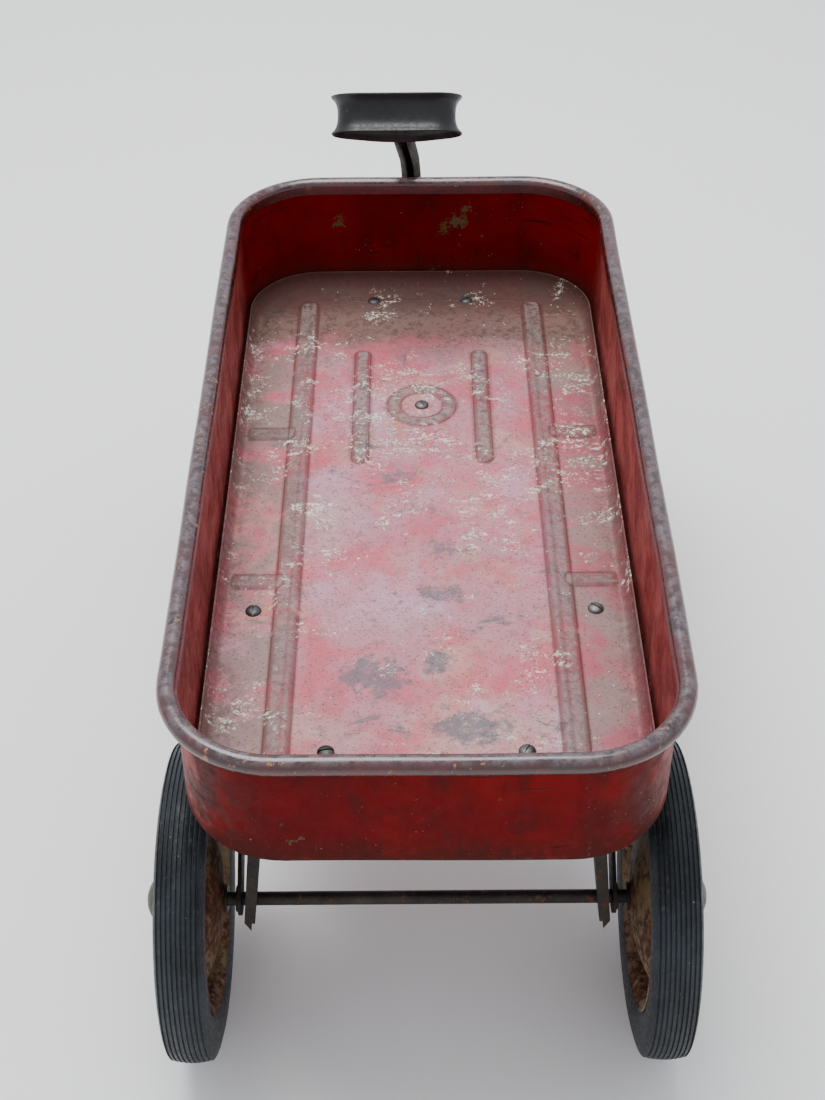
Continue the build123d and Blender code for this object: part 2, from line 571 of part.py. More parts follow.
def make_tongue_shaft():
    """Open-seam tube, straight, bent once, and straight again; its slot faces the wagon."""
    lower, middle, bend_end, upper = shaft_points()
    origin = Vector(0, 0, 0)
    line_a = Line(origin, Vector(0, *lower))
    arc = ThreePointArc(Vector(0, *lower), Vector(0, *middle), Vector(0, *bend_end))
    line_b = Line(Vector(0, *bend_end), Vector(0, *upper))
    path = Wire([line_a.edge(), arc.edge(), line_b.edge()])
    direction = (path % 0)
    section_plane = Plane(origin=origin, x_dir=Vector(1, 0, 0), z_dir=direction)
    ring = Circle(SHAFT_RADIUS) - Circle(SHAFT_RADIUS - SHAFT_WALL)
    slot = Pos(0, -SHAFT_RADIUS) * Rectangle(SHAFT_SLOT, 2 * SHAFT_RADIUS)
    tube = sweep(section_plane * (ring - slot), path=path)
    eye_room = Rot(0, 90, 0) * Cylinder(EYE_RADIUS, 60)
    return tongue_location() * (tube - eye_room)


def make_tongue_eye():
    """Cross tube welded to the shaft's foot, bored for the hinge pin."""
    half = EAR_INNER_X - 0.6
    eye = Rot(0, 90, 0) * (Cylinder(EYE_RADIUS, 2 * half) - Cylinder(PIN_RADIUS + RUNNING_CLEARANCE, 60))
    return tongue_location() * eye


def grip_location():
    """The grip's frame: X across, Y from its apex to its far bar, on the shaft's upper end."""
    upper = shaft_points()[3]
    return tongue_location() * Pos(0, *upper) * Rot(180 - GRIP_PITCH, 0, 0) * Pos(0, -SHAFT_IN_GRIP, 0)


def shaft_end_rod(radius, half_length):
    """A round bar on the line of the shaft's upper straight, about its end."""
    upper = shaft_points()[3]
    return tongue_location() * Pos(0, *upper) * Rot(90 - SHAFT_END, 0, 0) * Cylinder(radius, 2 * half_length)


def make_grip():
    """Sheet-steel band bent to a D; its edges flare outwards, and the shaft goes in at the apex."""
    half = GRIP_WIDTH / 2
    shoulder = GRIP_DEPTH - GRIP_SIDE
    outline = make_face(Polyline((half, GRIP_DEPTH), (half, shoulder), (GRIP_APEX, 0),
                                 (-GRIP_APEX, 0), (-half, shoulder), (-half, GRIP_DEPTH), close=True))
    rows = outline.vertices().sort_by(Axis.Y)
    outline = fillet(rows[4:], GRIP_CORNER)
    rows = outline.vertices().filter_by_position(Axis.Y, shoulder - 1, shoulder + 1)
    outline = fillet(rows, GRIP_SIDE_BEND)
    rows = outline.vertices().filter_by_position(Axis.Y, -1, 1)
    outline = fillet(rows, GRIP_APEX_BEND)
    path = outline.wires()[0]
    start = path @ 0
    tangent = path % 0
    outward = tangent.cross(Vector(0, 0, 1))
    if outline.is_inside(start + outward * 2):
        outward = outward * -1
    section_plane = Plane(origin=start, x_dir=outward, z_dir=tangent)
    half_band = GRIP_BAND / 2
    inner = GRIP_FLARE - GRIP_GAUGE
    outer_arc = ThreePointArc((GRIP_FLARE, -half_band), (0, 0), (GRIP_FLARE, half_band))
    inner_arc = ThreePointArc((inner, half_band), (-GRIP_GAUGE, 0), (inner, -half_band))
    high_edge = Line((GRIP_FLARE, half_band), (inner, half_band))
    low_edge = Line((inner, -half_band), (GRIP_FLARE, -half_band))
    section = make_face([outer_arc.edge(), high_edge.edge(), inner_arc.edge(), low_edge.edge()])
    band = sweep(section_plane * section, path=path)
    return grip_location() * band - shaft_end_rod(SHAFT_RADIUS, 30)


def make_grip_collar():
    """Ring welded round the shaft where it enters the grip."""
    collar = shaft_end_rod(SHAFT_RADIUS + 2.4, 30) - shaft_end_rod(SHAFT_RADIUS, 31)
    slice_box = Pos(0, -COLLAR_LENGTH / 2 - GRIP_FLARE - 0.4, 0) * Box(60, COLLAR_LENGTH, 60)
    return collar & (grip_location() * slice_box)


# ---------------------------------------------------------------- wheels
def revolve_wheel(face, x, y, sign):
    """Turn a section drawn as (radius, outward) about the axle and set it on its wheel."""
    solid = revolve(face, axis=Axis.Y)
    solid = Rot(0, 0, -90) * solid
    if sign < 0:
        solid = mirror(solid, Plane.YZ)
    return Pos(sign * x, y, WHEEL_RADIUS) * solid


def make_tyre(y, sign):
    """Solid rubber tyre: rounded shoulders, a nearly flat tread with fine grooves all round."""
    half = TYRE_WIDTH / 2
    foot = FLANGE_RADIUS + 1.5
    lobe = Spline((foot, half - 3.0), (108, half), (119.5, half - 2.6), (SHOULDER_RADIUS, half - 7.0),
                  tangents=((0.8, 0.6), (0.4, -0.92)))
    tread = ThreePointArc((SHOULDER_RADIUS, half - 7.0), (WHEEL_RADIUS, 0), (SHOULDER_RADIUS, -half + 7.0))
    lobe_low = Spline((SHOULDER_RADIUS, -half + 7.0), (119.5, -half + 2.6), (108, -half), (foot, -half + 3.0),
                      tangents=((-0.4, -0.92), (-0.8, 0.6)))
    bore = TYRE_SEAT_RADIUS + 0.4
    seat = Polyline((foot, -half + 3.0), (bore, -9.0), (bore, 9.0), (foot, half - 3.0))
    section = make_face([lobe.edge(), tread.edge(), lobe_low.edge()] + list(seat.edges()))
    for index in range(TREAD_GROOVES):
        u = (index - (TREAD_GROOVES - 1) / 2) * GROOVE_PITCH
        groove = Pos(WHEEL_RADIUS, u) * Rectangle(2 * GROOVE_DEPTH + 1.2, GROOVE_WIDTH)
        section = section - groove
    return revolve_wheel(section, WHEEL_X, y, sign)


def disc_points():
    """Middle line of the outer wheel disc: collar, dished web, weld ring, tyre seat and flange."""
    return [(HUB_RADIUS - 1.5, 20.6), (14.0, 19.4), (30.0, 18.4), (52.0, 13.0), (70.0, 4.5), (75.0, 0.7),
            (79.0, 0.7), (81.6, 4.0), (82.6, 9.0), (87.0, 13.6), (FLANGE_RADIUS - 0.8, 15.4)]


def make_disc(y, sign, outward):
    """Half of the pressed wheel; the two halves are spot-welded back to back at a flat ring."""
    pts = disc_points()
    outline = []
    back = []
    for index, (r, u) in enumerate(pts):
        before = pts[max(index - 1, 0)]
        after = pts[min(index + 1, len(pts) - 1)]
        dr = after[0] - before[0]
        du = after[1] - before[1]
        size = math.hypot(dr, du)
        nr = -du / size * DISC_GAUGE / 2
        nu = dr / size * DISC_GAUGE / 2
        outline.append((r + nr, u + nu))
        back.append((r - nr, u - nu))
    section = make_face(Polyline(*(outline + back[::-1]), close=True))
    section = section - Pos(0, 20) * Rectangle(2 * HUB_RADIUS, 40) - Pos(77, -2) * Rectangle(10, 4)
    if not outward:
        section = mirror(section, Plane.XZ)
    return revolve_wheel(section, WHEEL_X, y, sign)


def make_hub(y, sign):
    """Bored steel tube on which the wheel runs."""
    x0 = WHEEL_X - HUB_INNER_END
    x1 = WHEEL_X + HUB_OUTER_END
    hub = ring_x(HUB_RADIUS, AXLE_RADIUS + RUNNING_CLEARANCE, x0, x1, y)
    if sign < 0:
        hub = mirror(hub, Plane.YZ)
    return hub


def dome(radius, foot, top):
    """Solid dome along X from foot to top: a ball cut by a straight cylinder."""
    rise = top - foot - 3
    ball_radius = (radius ** 2 + rise ** 2) / (2 * rise)
    ball = Pos(top - ball_radius, 0, 0) * Sphere(ball_radius)
    bar = Pos((foot + top) / 2, 0, 0) * (Rot(0, 90, 0) * Cylinder(radius, top - foot))
    return ball & bar


def make_cap(y, sign):
    """Domed sheet cap pressed on to the middle of the wheel."""
    outside = dome(CAP_RADIUS, CAP_FOOT, CAP_REACH)
    inside = dome(CAP_RADIUS - CAP_GAUGE, CAP_FOOT - 1, CAP_REACH - CAP_GAUGE)
    cap = outside - inside
    if sign < 0:
        cap = mirror(cap, Plane.YZ)
    return Pos(sign * WHEEL_X, y, WHEEL_RADIUS) * cap


# ---------------------------------------------------------------- assembly
def build_all():
    """Make every sub-part in the drawing position."""
    save("body_shell", make_body_shell())
    save("floor_pan", make_floor_pan())
    save("floor_bolts", make_floor_bolts())
    save("floor_nuts", make_floor_nuts())
    save("rear_axle_bracket", make_rear_bracket())
    save("rear_brace_left", make_rear_brace(-1))
    save("rear_brace_right", make_rear_brace(1))
    save("rear_axle", make_axle(REAR_AXLE_Y))
    save("rear_axle_split_pins", make_cotters(REAR_AXLE_Y))
    save("rear_axle_washers", make_axle_washers(REAR_AXLE_Y, BRACE_X + STRAP))
    save("front_bolster", make_front_bolster())
    save("turntable_wear_disc", make_wear_disc())
    save("kingpin", make_kingpin())
    save("kingpin_washer", make_kingpin_washer())
    save("kingpin_nut", make_kingpin_nut())
    save("front_fork", make_front_fork())
    save("front_axle", make_axle(KINGPIN_Y))
    save("front_axle_split_pins", make_cotters(KINGPIN_Y))
    save("front_axle_washers", make_axle_washers(KINGPIN_Y, FORK_LEG_X + 2 * STRAP + 0.1))
    save("draft_arm_left", make_draft_arm(-1))
    save("draft_arm_right", make_draft_arm(1))
    save("drawbar_brace", make_drawbar_brace())
    save("drawbar_brace_rivet", make_brace_rivet())
    save("hinge_pin", make_hinge_pin())
    save("hinge_nut", make_hinge_nut())
    save("tongue_shaft", make_tongue_shaft())
    save("tongue_eye", make_tongue_eye())
    save("grip", make_grip())
    save("grip_collar", make_grip_collar())
    for end, y in (("front", KINGPIN_Y), ("rear", REAR_AXLE_Y)):
        for hand, sign in (("left", -1), ("right", 1)):
            save(f"{end}_{hand}_tyre", make_tyre(y, sign))
            save(f"{end}_{hand}_outer_disc", make_disc(y, sign, True))
            save(f"{end}_{hand}_inner_disc", make_disc(y, sign, False))
            save(f"{end}_{hand}_hub", make_hub(y, sign))
            save(f"{end}_{hand}_hub_cap", make_cap(y, sign))


build_all()
whole = Compound(children=[Compound(shape.solids()) for shape in parts.values()]).bounding_box()
ORIGIN_SHIFT = -(whole.min.Y + whole.max.Y) / 2
os.makedirs("parts", exist_ok=True)
for name, shape in parts.items():
    export_step(Pos(0, ORIGIN_SHIFT, 0) * Compound(shape.solids()), f"parts/{name}.step")
print("shift along Y", round(ORIGIN_SHIFT, 3), "size", whole.size)
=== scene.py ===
# %% [markdown]
# # A pressed-steel coaster wagon
# This notebook dresses a finished mechanical model of a child's wagon. The mechanical model comes in as
# a fixed frame: every moving body, axle and hinge is already in its place, in metres, with +X to the
# wagon's right, +Y to its front and +Z up. Blender's work is the surface: sheet steel with soft pressed
# beads, a rolled rim, ribbed rubber and sixty years of wear.

# %% Load the frame
import json
import math

import bpy
import numpy as np
from mathutils import Matrix, Vector, noise


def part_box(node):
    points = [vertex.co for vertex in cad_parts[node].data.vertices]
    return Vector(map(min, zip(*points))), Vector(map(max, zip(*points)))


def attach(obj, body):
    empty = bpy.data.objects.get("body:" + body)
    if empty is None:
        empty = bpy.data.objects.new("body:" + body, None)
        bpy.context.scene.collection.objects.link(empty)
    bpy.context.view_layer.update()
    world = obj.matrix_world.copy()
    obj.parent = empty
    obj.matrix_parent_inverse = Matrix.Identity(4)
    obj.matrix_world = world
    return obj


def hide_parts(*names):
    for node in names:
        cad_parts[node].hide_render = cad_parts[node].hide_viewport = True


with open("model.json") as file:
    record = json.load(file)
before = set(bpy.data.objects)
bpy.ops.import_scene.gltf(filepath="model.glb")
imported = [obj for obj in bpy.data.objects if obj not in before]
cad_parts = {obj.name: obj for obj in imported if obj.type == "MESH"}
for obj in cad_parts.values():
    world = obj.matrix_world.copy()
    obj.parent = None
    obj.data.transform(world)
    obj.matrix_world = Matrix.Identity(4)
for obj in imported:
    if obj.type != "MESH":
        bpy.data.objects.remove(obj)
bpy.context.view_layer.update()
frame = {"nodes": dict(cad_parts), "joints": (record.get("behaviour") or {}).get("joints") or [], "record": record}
MM = 0.001

# %% [markdown]
# ## Places taken from the frame
# The tub's own box gives the rim's four edges, and the axles give the wheel centres. Everything later is
# measured from these, so the surfaces follow the frame if it changes.

# %% Measure the frame
shell_low, shell_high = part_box("body_shell")
RIM_REAR = shell_low.y
RIM_LENGTH = shell_high.y - shell_low.y
RIM_WIDTH = shell_high.x - shell_low.x
RIM_TOP = shell_high.z
TUB_BOTTOM = shell_low.z
RIM_CORNER = 88 * MM
BEAD_RADIUS = 7.4 * MM
SHEET = 1.2 * MM


def middle(node):
    """The middle of a frame node's box."""
    low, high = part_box(node)
    return (low + high) / 2


print("rim", round(RIM_LENGTH, 4), "by", round(RIM_WIDTH, 4), "top", round(RIM_TOP, 4))

# %% [markdown]
# ## Hand tools
# Nearly every part of a wagon is a bent or turned section. So the main tool draws a section as a chain of
# edges, each extruded from the last, and then carries it along: a straight run is an extrude, and a bend
# or a turned part is a spin about its centre. A chain has no thickness, so sheet parts get theirs from a
# Solidify modifier at the end, which keeps both faces parallel as in real sheet.


# %% Tools for choosing and starting
def let_go():
    """Nothing is selected afterwards."""
    if bpy.context.mode != "OBJECT":
        bpy.ops.object.mode_set(mode="OBJECT")
    bpy.ops.object.select_all(action="DESELECT")


def take(piece):
    """Only this piece is selected and active."""
    let_go()
    piece.select_set(True)
    bpy.context.view_layer.objects.active = piece


def draw_section(name, points, closed=False):
    """A chain of edges through the points, extruded one after another from a single vertex."""
    let_go()
    bpy.ops.mesh.primitive_plane_add(size=MM, location=points[0])
    piece = bpy.context.object
    piece.name = name
    bpy.ops.object.transform_apply(location=True)
    bpy.ops.object.mode_set(mode="EDIT")
    bpy.ops.mesh.select_all(action="SELECT")
    bpy.ops.mesh.merge(type="CENTER")
    for start, end in zip(points, points[1:]):
        step = Vector(end) - Vector(start)
        bpy.ops.mesh.extrude_region_move(TRANSFORM_OT_translate={"value": step})
    bpy.ops.mesh.select_all(action="SELECT")
    if closed:
        bpy.ops.mesh.edge_face_add()
        bpy.ops.mesh.delete(type="ONLY_FACE")
        bpy.ops.mesh.select_all(action="SELECT")
    return piece


def run(step, pieces=1):
    """Carry the selected section along a straight line, in equal steps."""
    for _ in range(pieces):
        bpy.ops.mesh.extrude_region_move(TRANSFORM_OT_translate={"value": Vector(step) / pieces})


def turn(centre, axis, degrees, steps):
    """Carry the selected section round a centre, the way a right-handed screw turns."""
    bpy.ops.mesh.spin(steps=steps, angle=-math.radians(degrees), center=centre, axis=axis)


def close_up():
    """Merge the seams and turn every face outwards."""
    bpy.ops.mesh.select_all(action="SELECT")
    bpy.ops.mesh.remove_doubles(threshold=0.01 * MM)
    bpy.ops.mesh.normals_make_consistent(inside=False)
    bpy.ops.object.mode_set(mode="OBJECT")


def thicken(piece, thickness, offset=0.0):
    """Give a sheet its gauge."""
    take(piece)
    solid = piece.modifiers.new("gauge", "SOLIDIFY")
    solid.thickness = thickness
    solid.offset = offset
    solid.use_even_offset = True
    bpy.ops.object.modifier_apply(modifier=solid.name)


def soften(piece, width, segments=2, angle=40):
    """Break the sharp edges."""
    take(piece)
    bevel = piece.modifiers.new("broken edge", "BEVEL")
    bevel.width = width
    bevel.segments = segments
    bevel.limit_method = "ANGLE"
    bevel.angle_limit = math.radians(angle)
    bevel.harden_normals = False
    bpy.ops.object.modifier_apply(modifier=bevel.name)


def finish_piece(piece, body, finish, nodes, angle=35):
    """Smooth the piece, give it its finish and hang it on its body."""
    take(piece)
    bpy.ops.object.shade_smooth_by_angle(angle=math.radians(angle))
    piece.data.materials.clear()
    piece.data.materials.append(finish)
    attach(piece, body)
    if nodes:
        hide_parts(*nodes)
    let_go()
    print(piece.name, len(piece.data.polygons), "faces")


# %% [markdown]
# ## A small kit for finishes
# Old paint is several layers seen through each other: colour, fading, grime, chips and dust. Each layer
# here is a noise read in the wagon's own coordinates, cut by a ramp into a mask, and mixed over the one
# below. The helpers keep each recipe down to a few readable lines.


# %% Finish helpers
class Finish:
    """One node material, built layer by layer."""

    def __init__(self, name):
        self.material = bpy.data.materials.new(name)
        self.material.use_nodes = True
        self.tree = self.material.node_tree
        self.shader = self.tree.nodes["Principled BSDF"]
        self.place = self.tree.nodes.new("ShaderNodeTexCoord").outputs["Object"]
        split = self.tree.nodes.new("ShaderNodeSeparateXYZ")
        self.tree.links.new(self.place, split.inputs[0])
        self.x, self.y, self.z = split.outputs

    def link(self, source, socket):
        if hasattr(source, "is_output"):
            self.tree.links.new(source, socket)
        else:
            socket.default_value = source

    def stretch(self, scale, turn_z=0.0):
        """The piece's coordinates, squeezed along each axis."""
        node = self.tree.nodes.new("ShaderNodeMapping")
        node.inputs["Scale"].default_value = scale
        node.inputs["Rotation"].default_value = (0, 0, turn_z)
        self.tree.links.new(self.place, node.inputs["Vector"])
        return node.outputs[0]

    def grain(self, scale, detail=6, rough=0.6, place=None, twist=0.0):
        """Noise from 0 to 1, scale in cycles per metre."""
        node = self.tree.nodes.new("ShaderNodeTexNoise")
        node.inputs["Scale"].default_value = scale
        node.inputs["Detail"].default_value = detail
        node.inputs["Roughness"].default_value = rough
        node.inputs["Distortion"].default_value = twist
        self.tree.links.new(place or self.place, node.inputs["Vector"])
        return node.outputs["Fac"]

    def cells(self, scale, place=None):
        """Distance to scattered points, for flecks."""
        node = self.tree.nodes.new("ShaderNodeTexVoronoi")
        node.inputs["Scale"].default_value = scale
        self.tree.links.new(place or self.place, node.inputs["Vector"])
        return node.outputs["Distance"]

    def cut(self, source, low, high):
        """A mask that rises from 0 to 1 between low and high; it falls if low is above high."""
        node = self.tree.nodes.new("ShaderNodeMapRange")
        node.interpolation_type = "SMOOTHSTEP"
        node.inputs["From Min"].default_value = min(low, high)
        node.inputs["From Max"].default_value = max(low, high)
        if low > high:
            node.inputs["To Min"].default_value = 1.0
            node.inputs["To Max"].default_value = 0.0
        self.link(source, node.inputs["Value"])
        return node.outputs[0]

    def sum(self, kind, first, second):
        """Arithmetic on masks."""
        node = self.tree.nodes.new("ShaderNodeMath")
        node.operation = kind
        self.link(first, node.inputs[0])
        self.link(second, node.inputs[1])
        return node.outputs[0]

    def both(self, *masks):
        """Where all the masks are high."""
        result = masks[0]
        for mask in masks[1:]:
            result = self.sum("MULTIPLY", result, mask)
        return result

    def size(self, source):
        """Distance from zero, either way."""
        return self.sum("ABSOLUTE", source, 0.0)

    def attribute(self, name):
        """A value stored on the piece's own vertices."""
        node = self.tree.nodes.new("ShaderNodeAttribute")
        node.attribute_name = name
        return node.outputs["Fac"]

    def over(self, below, above, mask):
        """The colour above laid over the one below, through a mask."""
        node = self.tree.nodes.new("ShaderNodeMix")
        node.data_type = "RGBA"
        self.link(mask, node.inputs["Factor"])
        self.link(below, node.inputs["A"])
        self.link(above, node.inputs["B"])
        return node.outputs["Result"]

    def blend(self, below, above, mask):
        """The same for a single number."""
        node = self.tree.nodes.new("ShaderNodeMix")
        node.data_type = "FLOAT"
        self.link(mask, node.inputs["Factor"])
        self.link(below, node.inputs["A"])
        self.link(above, node.inputs["B"])
        return node.outputs["Result"]

    def done(self, colour, rough, relief=None, relief_depth=0.0, metal=0.0, gloss=0.5):
        """Connect the finished layers to the shader."""
        self.link(colour, self.shader.inputs["Base Color"])
        self.link(rough, self.shader.inputs["Roughness"])
        self.link(metal, self.shader.inputs["Metallic"])
        self.link(gloss, self.shader.inputs["Specular IOR Level"])
        if relief is not None:
            bump = self.tree.nodes.new("ShaderNodeBump")
            bump.inputs["Strength"].default_value = 1.0
            bump.inputs["Distance"].default_value = relief_depth
            self.link(relief, bump.inputs["Height"])
            self.tree.links.new(bump.outputs[0], self.shader.inputs["Normal"])
        return self.material


def paint(red, green, blue):
    """A colour given as it looks on screen, 0 to 255, turned into the linear value Blender mixes."""
    linear = []
    for value in (red, green, blue):
        share = value / 255
        linear.append(share / 12.92 if share <= 0.04045 else ((share + 0.055) / 1.055) ** 2.4)
    return (*linear, 1.0)


# %% [markdown]
# ## Finish: the tub's red enamel
# The walls are deep red enamel. On the inside of the long walls a lighter dusty brick colour is painted as the
# sky's reflection, the end walls keep their depth, and the walls are painted darker towards the bottom. Hands and
# weather have worn the rim to mauve-brown with rusty chips, and a painted slate-grey sky reflection lies along its
# top. The masks for these zones are heights and widths on the wagon itself.


# %% Red enamel
# bare patches on the inside of the front wall, as (across, below the rim's top, reach)
FRONT_CHIPS = [(-0.083, 0.048, 0.007), (0.040, 0.046, 0.010), (0.024, 0.055, 0.006), (0.048, 0.034, 0.006)]


def make_red_enamel():
    f = Finish("tub red enamel")
    broad = f.grain(7, 4, 0.55)
    middle_grain = f.grain(30, 5, 0.62)
    fine = f.grain(110, 6, 0.7)
    flecks = f.grain(420, 3, 0.6)
    streaks = f.grain(1, 5, 0.65, f.stretch((26, 26, 4)))
    red = f.over(paint(88, 0, 3), paint(116, 1, 4), f.cut(broad, 0.35, 0.65))
    smoke = f.cut(f.sum("ADD", f.both(streaks, 0.5), f.both(middle_grain, 0.5)), 0.48, 0.64)
    red = f.over(red, paint(58, 8, 8), f.both(smoke, 0.6))
    inward = f.cut(f.size(f.x), RIM_WIDTH / 2 - 12.6 * MM, RIM_WIDTH / 2 - 13.1 * MM)
    long_wall = f.both(inward, f.cut(f.size(f.x), RIM_WIDTH / 2 - 40 * MM, RIM_WIDTH / 2 - 22 * MM))
    along_tub = f.both(long_wall, f.cut(f.y, RIM_REAR + RIM_LENGTH - 60 * MM, RIM_REAR + RIM_LENGTH - 170 * MM))
    # painted reflection: the inside of the long walls is laid over in a lighter dusty brick red, standing in for the
    # sky's reflection there
    sky_sheen_red = f.over(paint(158, 78, 74), paint(118, 44, 42), f.cut(middle_grain, 0.35, 0.62))
    red = f.over(red, sky_sheen_red, f.both(along_tub, f.cut(streaks, 0.2, 0.55), 0.9))
    # the walls are painted a darker brown towards the bottom
    low = f.cut(f.z, TUB_BOTTOM + 46 * MM, TUB_BOTTOM + 8 * MM)
    low_darkening = f.both(low, f.cut(fine, 0.25, 0.55))
    red = f.over(red, paint(62, 30, 25), f.both(low_darkening, 0.85))
    # painted shade: the rear corners, where the wall turns, are laid over in a darker brown
    turned = f.both(f.cut(f.size(f.x), RIM_WIDTH / 2 - 90 * MM, RIM_WIDTH / 2 - 30 * MM),
                    f.cut(f.y, RIM_REAR + 90 * MM, RIM_REAR + 30 * MM))
    red = f.over(red, paint(66, 28, 24), f.both(turned, f.cut(middle_grain, 0.38, 0.58), 0.8))
    chip = f.cut(f.grain(24, 6, 0.78, None, 0.9), 0.665, 0.675)
    front_wall = f.cut(f.y, RIM_REAR + RIM_LENGTH - 40 * MM, RIM_REAR + RIM_LENGTH - 30 * MM)
    ragged = f.grain(130, 6, 0.8)
    for spot_x, spot_z, reach in FRONT_CHIPS:
        from_x = f.sum("SUBTRACT", f.x, spot_x)
        from_z = f.sum("SUBTRACT", f.z, RIM_TOP - spot_z)
        away = f.sum("POWER", f.sum("ADD", f.both(from_x, from_x), f.both(from_z, from_z)), 0.5)
        near = f.cut(f.sum("SUBTRACT", away, f.both(ragged, 0.05)), reach - 26.5 * MM, reach - 27.5 * MM)
        chip = f.sum("MAXIMUM", chip, f.both(near, front_wall))
    red = f.over(red, paint(88, 76, 48), f.both(chip, 0.95))
    scratch_place = f.stretch((16, 16, 260), 0.0)
    scratch = f.both(f.cut(f.grain(1, 2, 0.5, scratch_place, 0.5), 0.665, 0.68), f.cut(broad, 0.48, 0.58))
    red = f.over(red, paint(36, 14, 12), f.both(scratch, 0.85))
    rub = f.both(f.cut(streaks, 0.62, 0.75), f.cut(fine, 0.5, 0.62))
    red = f.over(red, paint(140, 82, 74), f.both(rub, 0.5))
    dust = f.both(f.cut(flecks, 0.68, 0.72), f.cut(middle_grain, 0.5, 0.62))
    red = f.over(red, paint(190, 150, 136), f.both(dust, 0.6))
    rim = f.cut(f.z, RIM_TOP - 15.2 * MM, RIM_TOP - 14.2 * MM)
    mauve = f.over(paint(78, 26, 26), paint(52, 20, 20), f.cut(middle_grain, 0.38, 0.62))
    # painted reflection: the rim's top is laid over in a lighter slate grey, standing in for the sky's reflection and
    # highlight there
    rim_top_sky_sheen = f.both(f.cut(f.sum("ADD", f.z, f.both(middle_grain, 9 * MM)), RIM_TOP, RIM_TOP + 5 * MM), 0.75)
    mauve = f.over(mauve, f.over(paint(60, 50, 56), paint(104, 92, 98), f.cut(fine, 0.38, 0.6)), rim_top_sky_sheen)
    rust = f.both(f.cut(f.grain(150, 5, 0.7), 0.61, 0.64), f.cut(f.grain(9, 3, 0.5), 0.45, 0.6))
    mauve = f.over(mauve, paint(156, 108, 66), rust)
    pits = f.cut(f.grain(230, 4, 0.6), 0.62, 0.66)
    mauve = f.over(mauve, paint(34, 20, 20), f.both(pits, 0.7))
    colour = f.over(red, mauve, rim)
    rough = f.blend(0.36, 0.6, f.cut(fine, 0.3, 0.7))
    rough = f.blend(rough, 0.8, low_darkening)
    rough = f.blend(rough, f.blend(0.16, 0.34, f.cut(fine, 0.35, 0.65)), rim)
    relief = f.sum("SUBTRACT", f.sum("MULTIPLY", fine, 0.3), f.both(f.sum("MAXIMUM", chip, rust), 0.5))
    return f.done(colour, rough, relief, 0.2 * MM, 0.0, f.blend(0.07, 0.8, rim))


RED_ENAMEL = make_red_enamel()

# %% [markdown]
# ## Finish: the floor
# The floor's red has faded to a dusty pink. Feet and toys have rubbed the raised beads to bare metal, dirt and
# painted shade lie along their feet, the floor's sides carry painted shade, and the front end, where rain
# collects, is brown. The beads' places are stored on the sheet's vertices when it is pressed, as two values: how
# much a point stands proud, and how near it lies to a bead's foot. The finish reads those values, so wear, dirt
# and painted shade follow the real shape.


# %% Floor enamel
FLOOR_FRONT = RIM_REAR + RIM_LENGTH
# grey rubbed patches as (across, forward from the rear rim, reach), seen where things were dragged
SMUDGES = [(-0.042, 0.205, 0.038), (0.036, 0.150, 0.040), (0.006, 0.222, 0.022), (0.014, 0.300, 0.026),
           (-0.020, 0.470, 0.024), (0.020, 0.365, 0.022)]


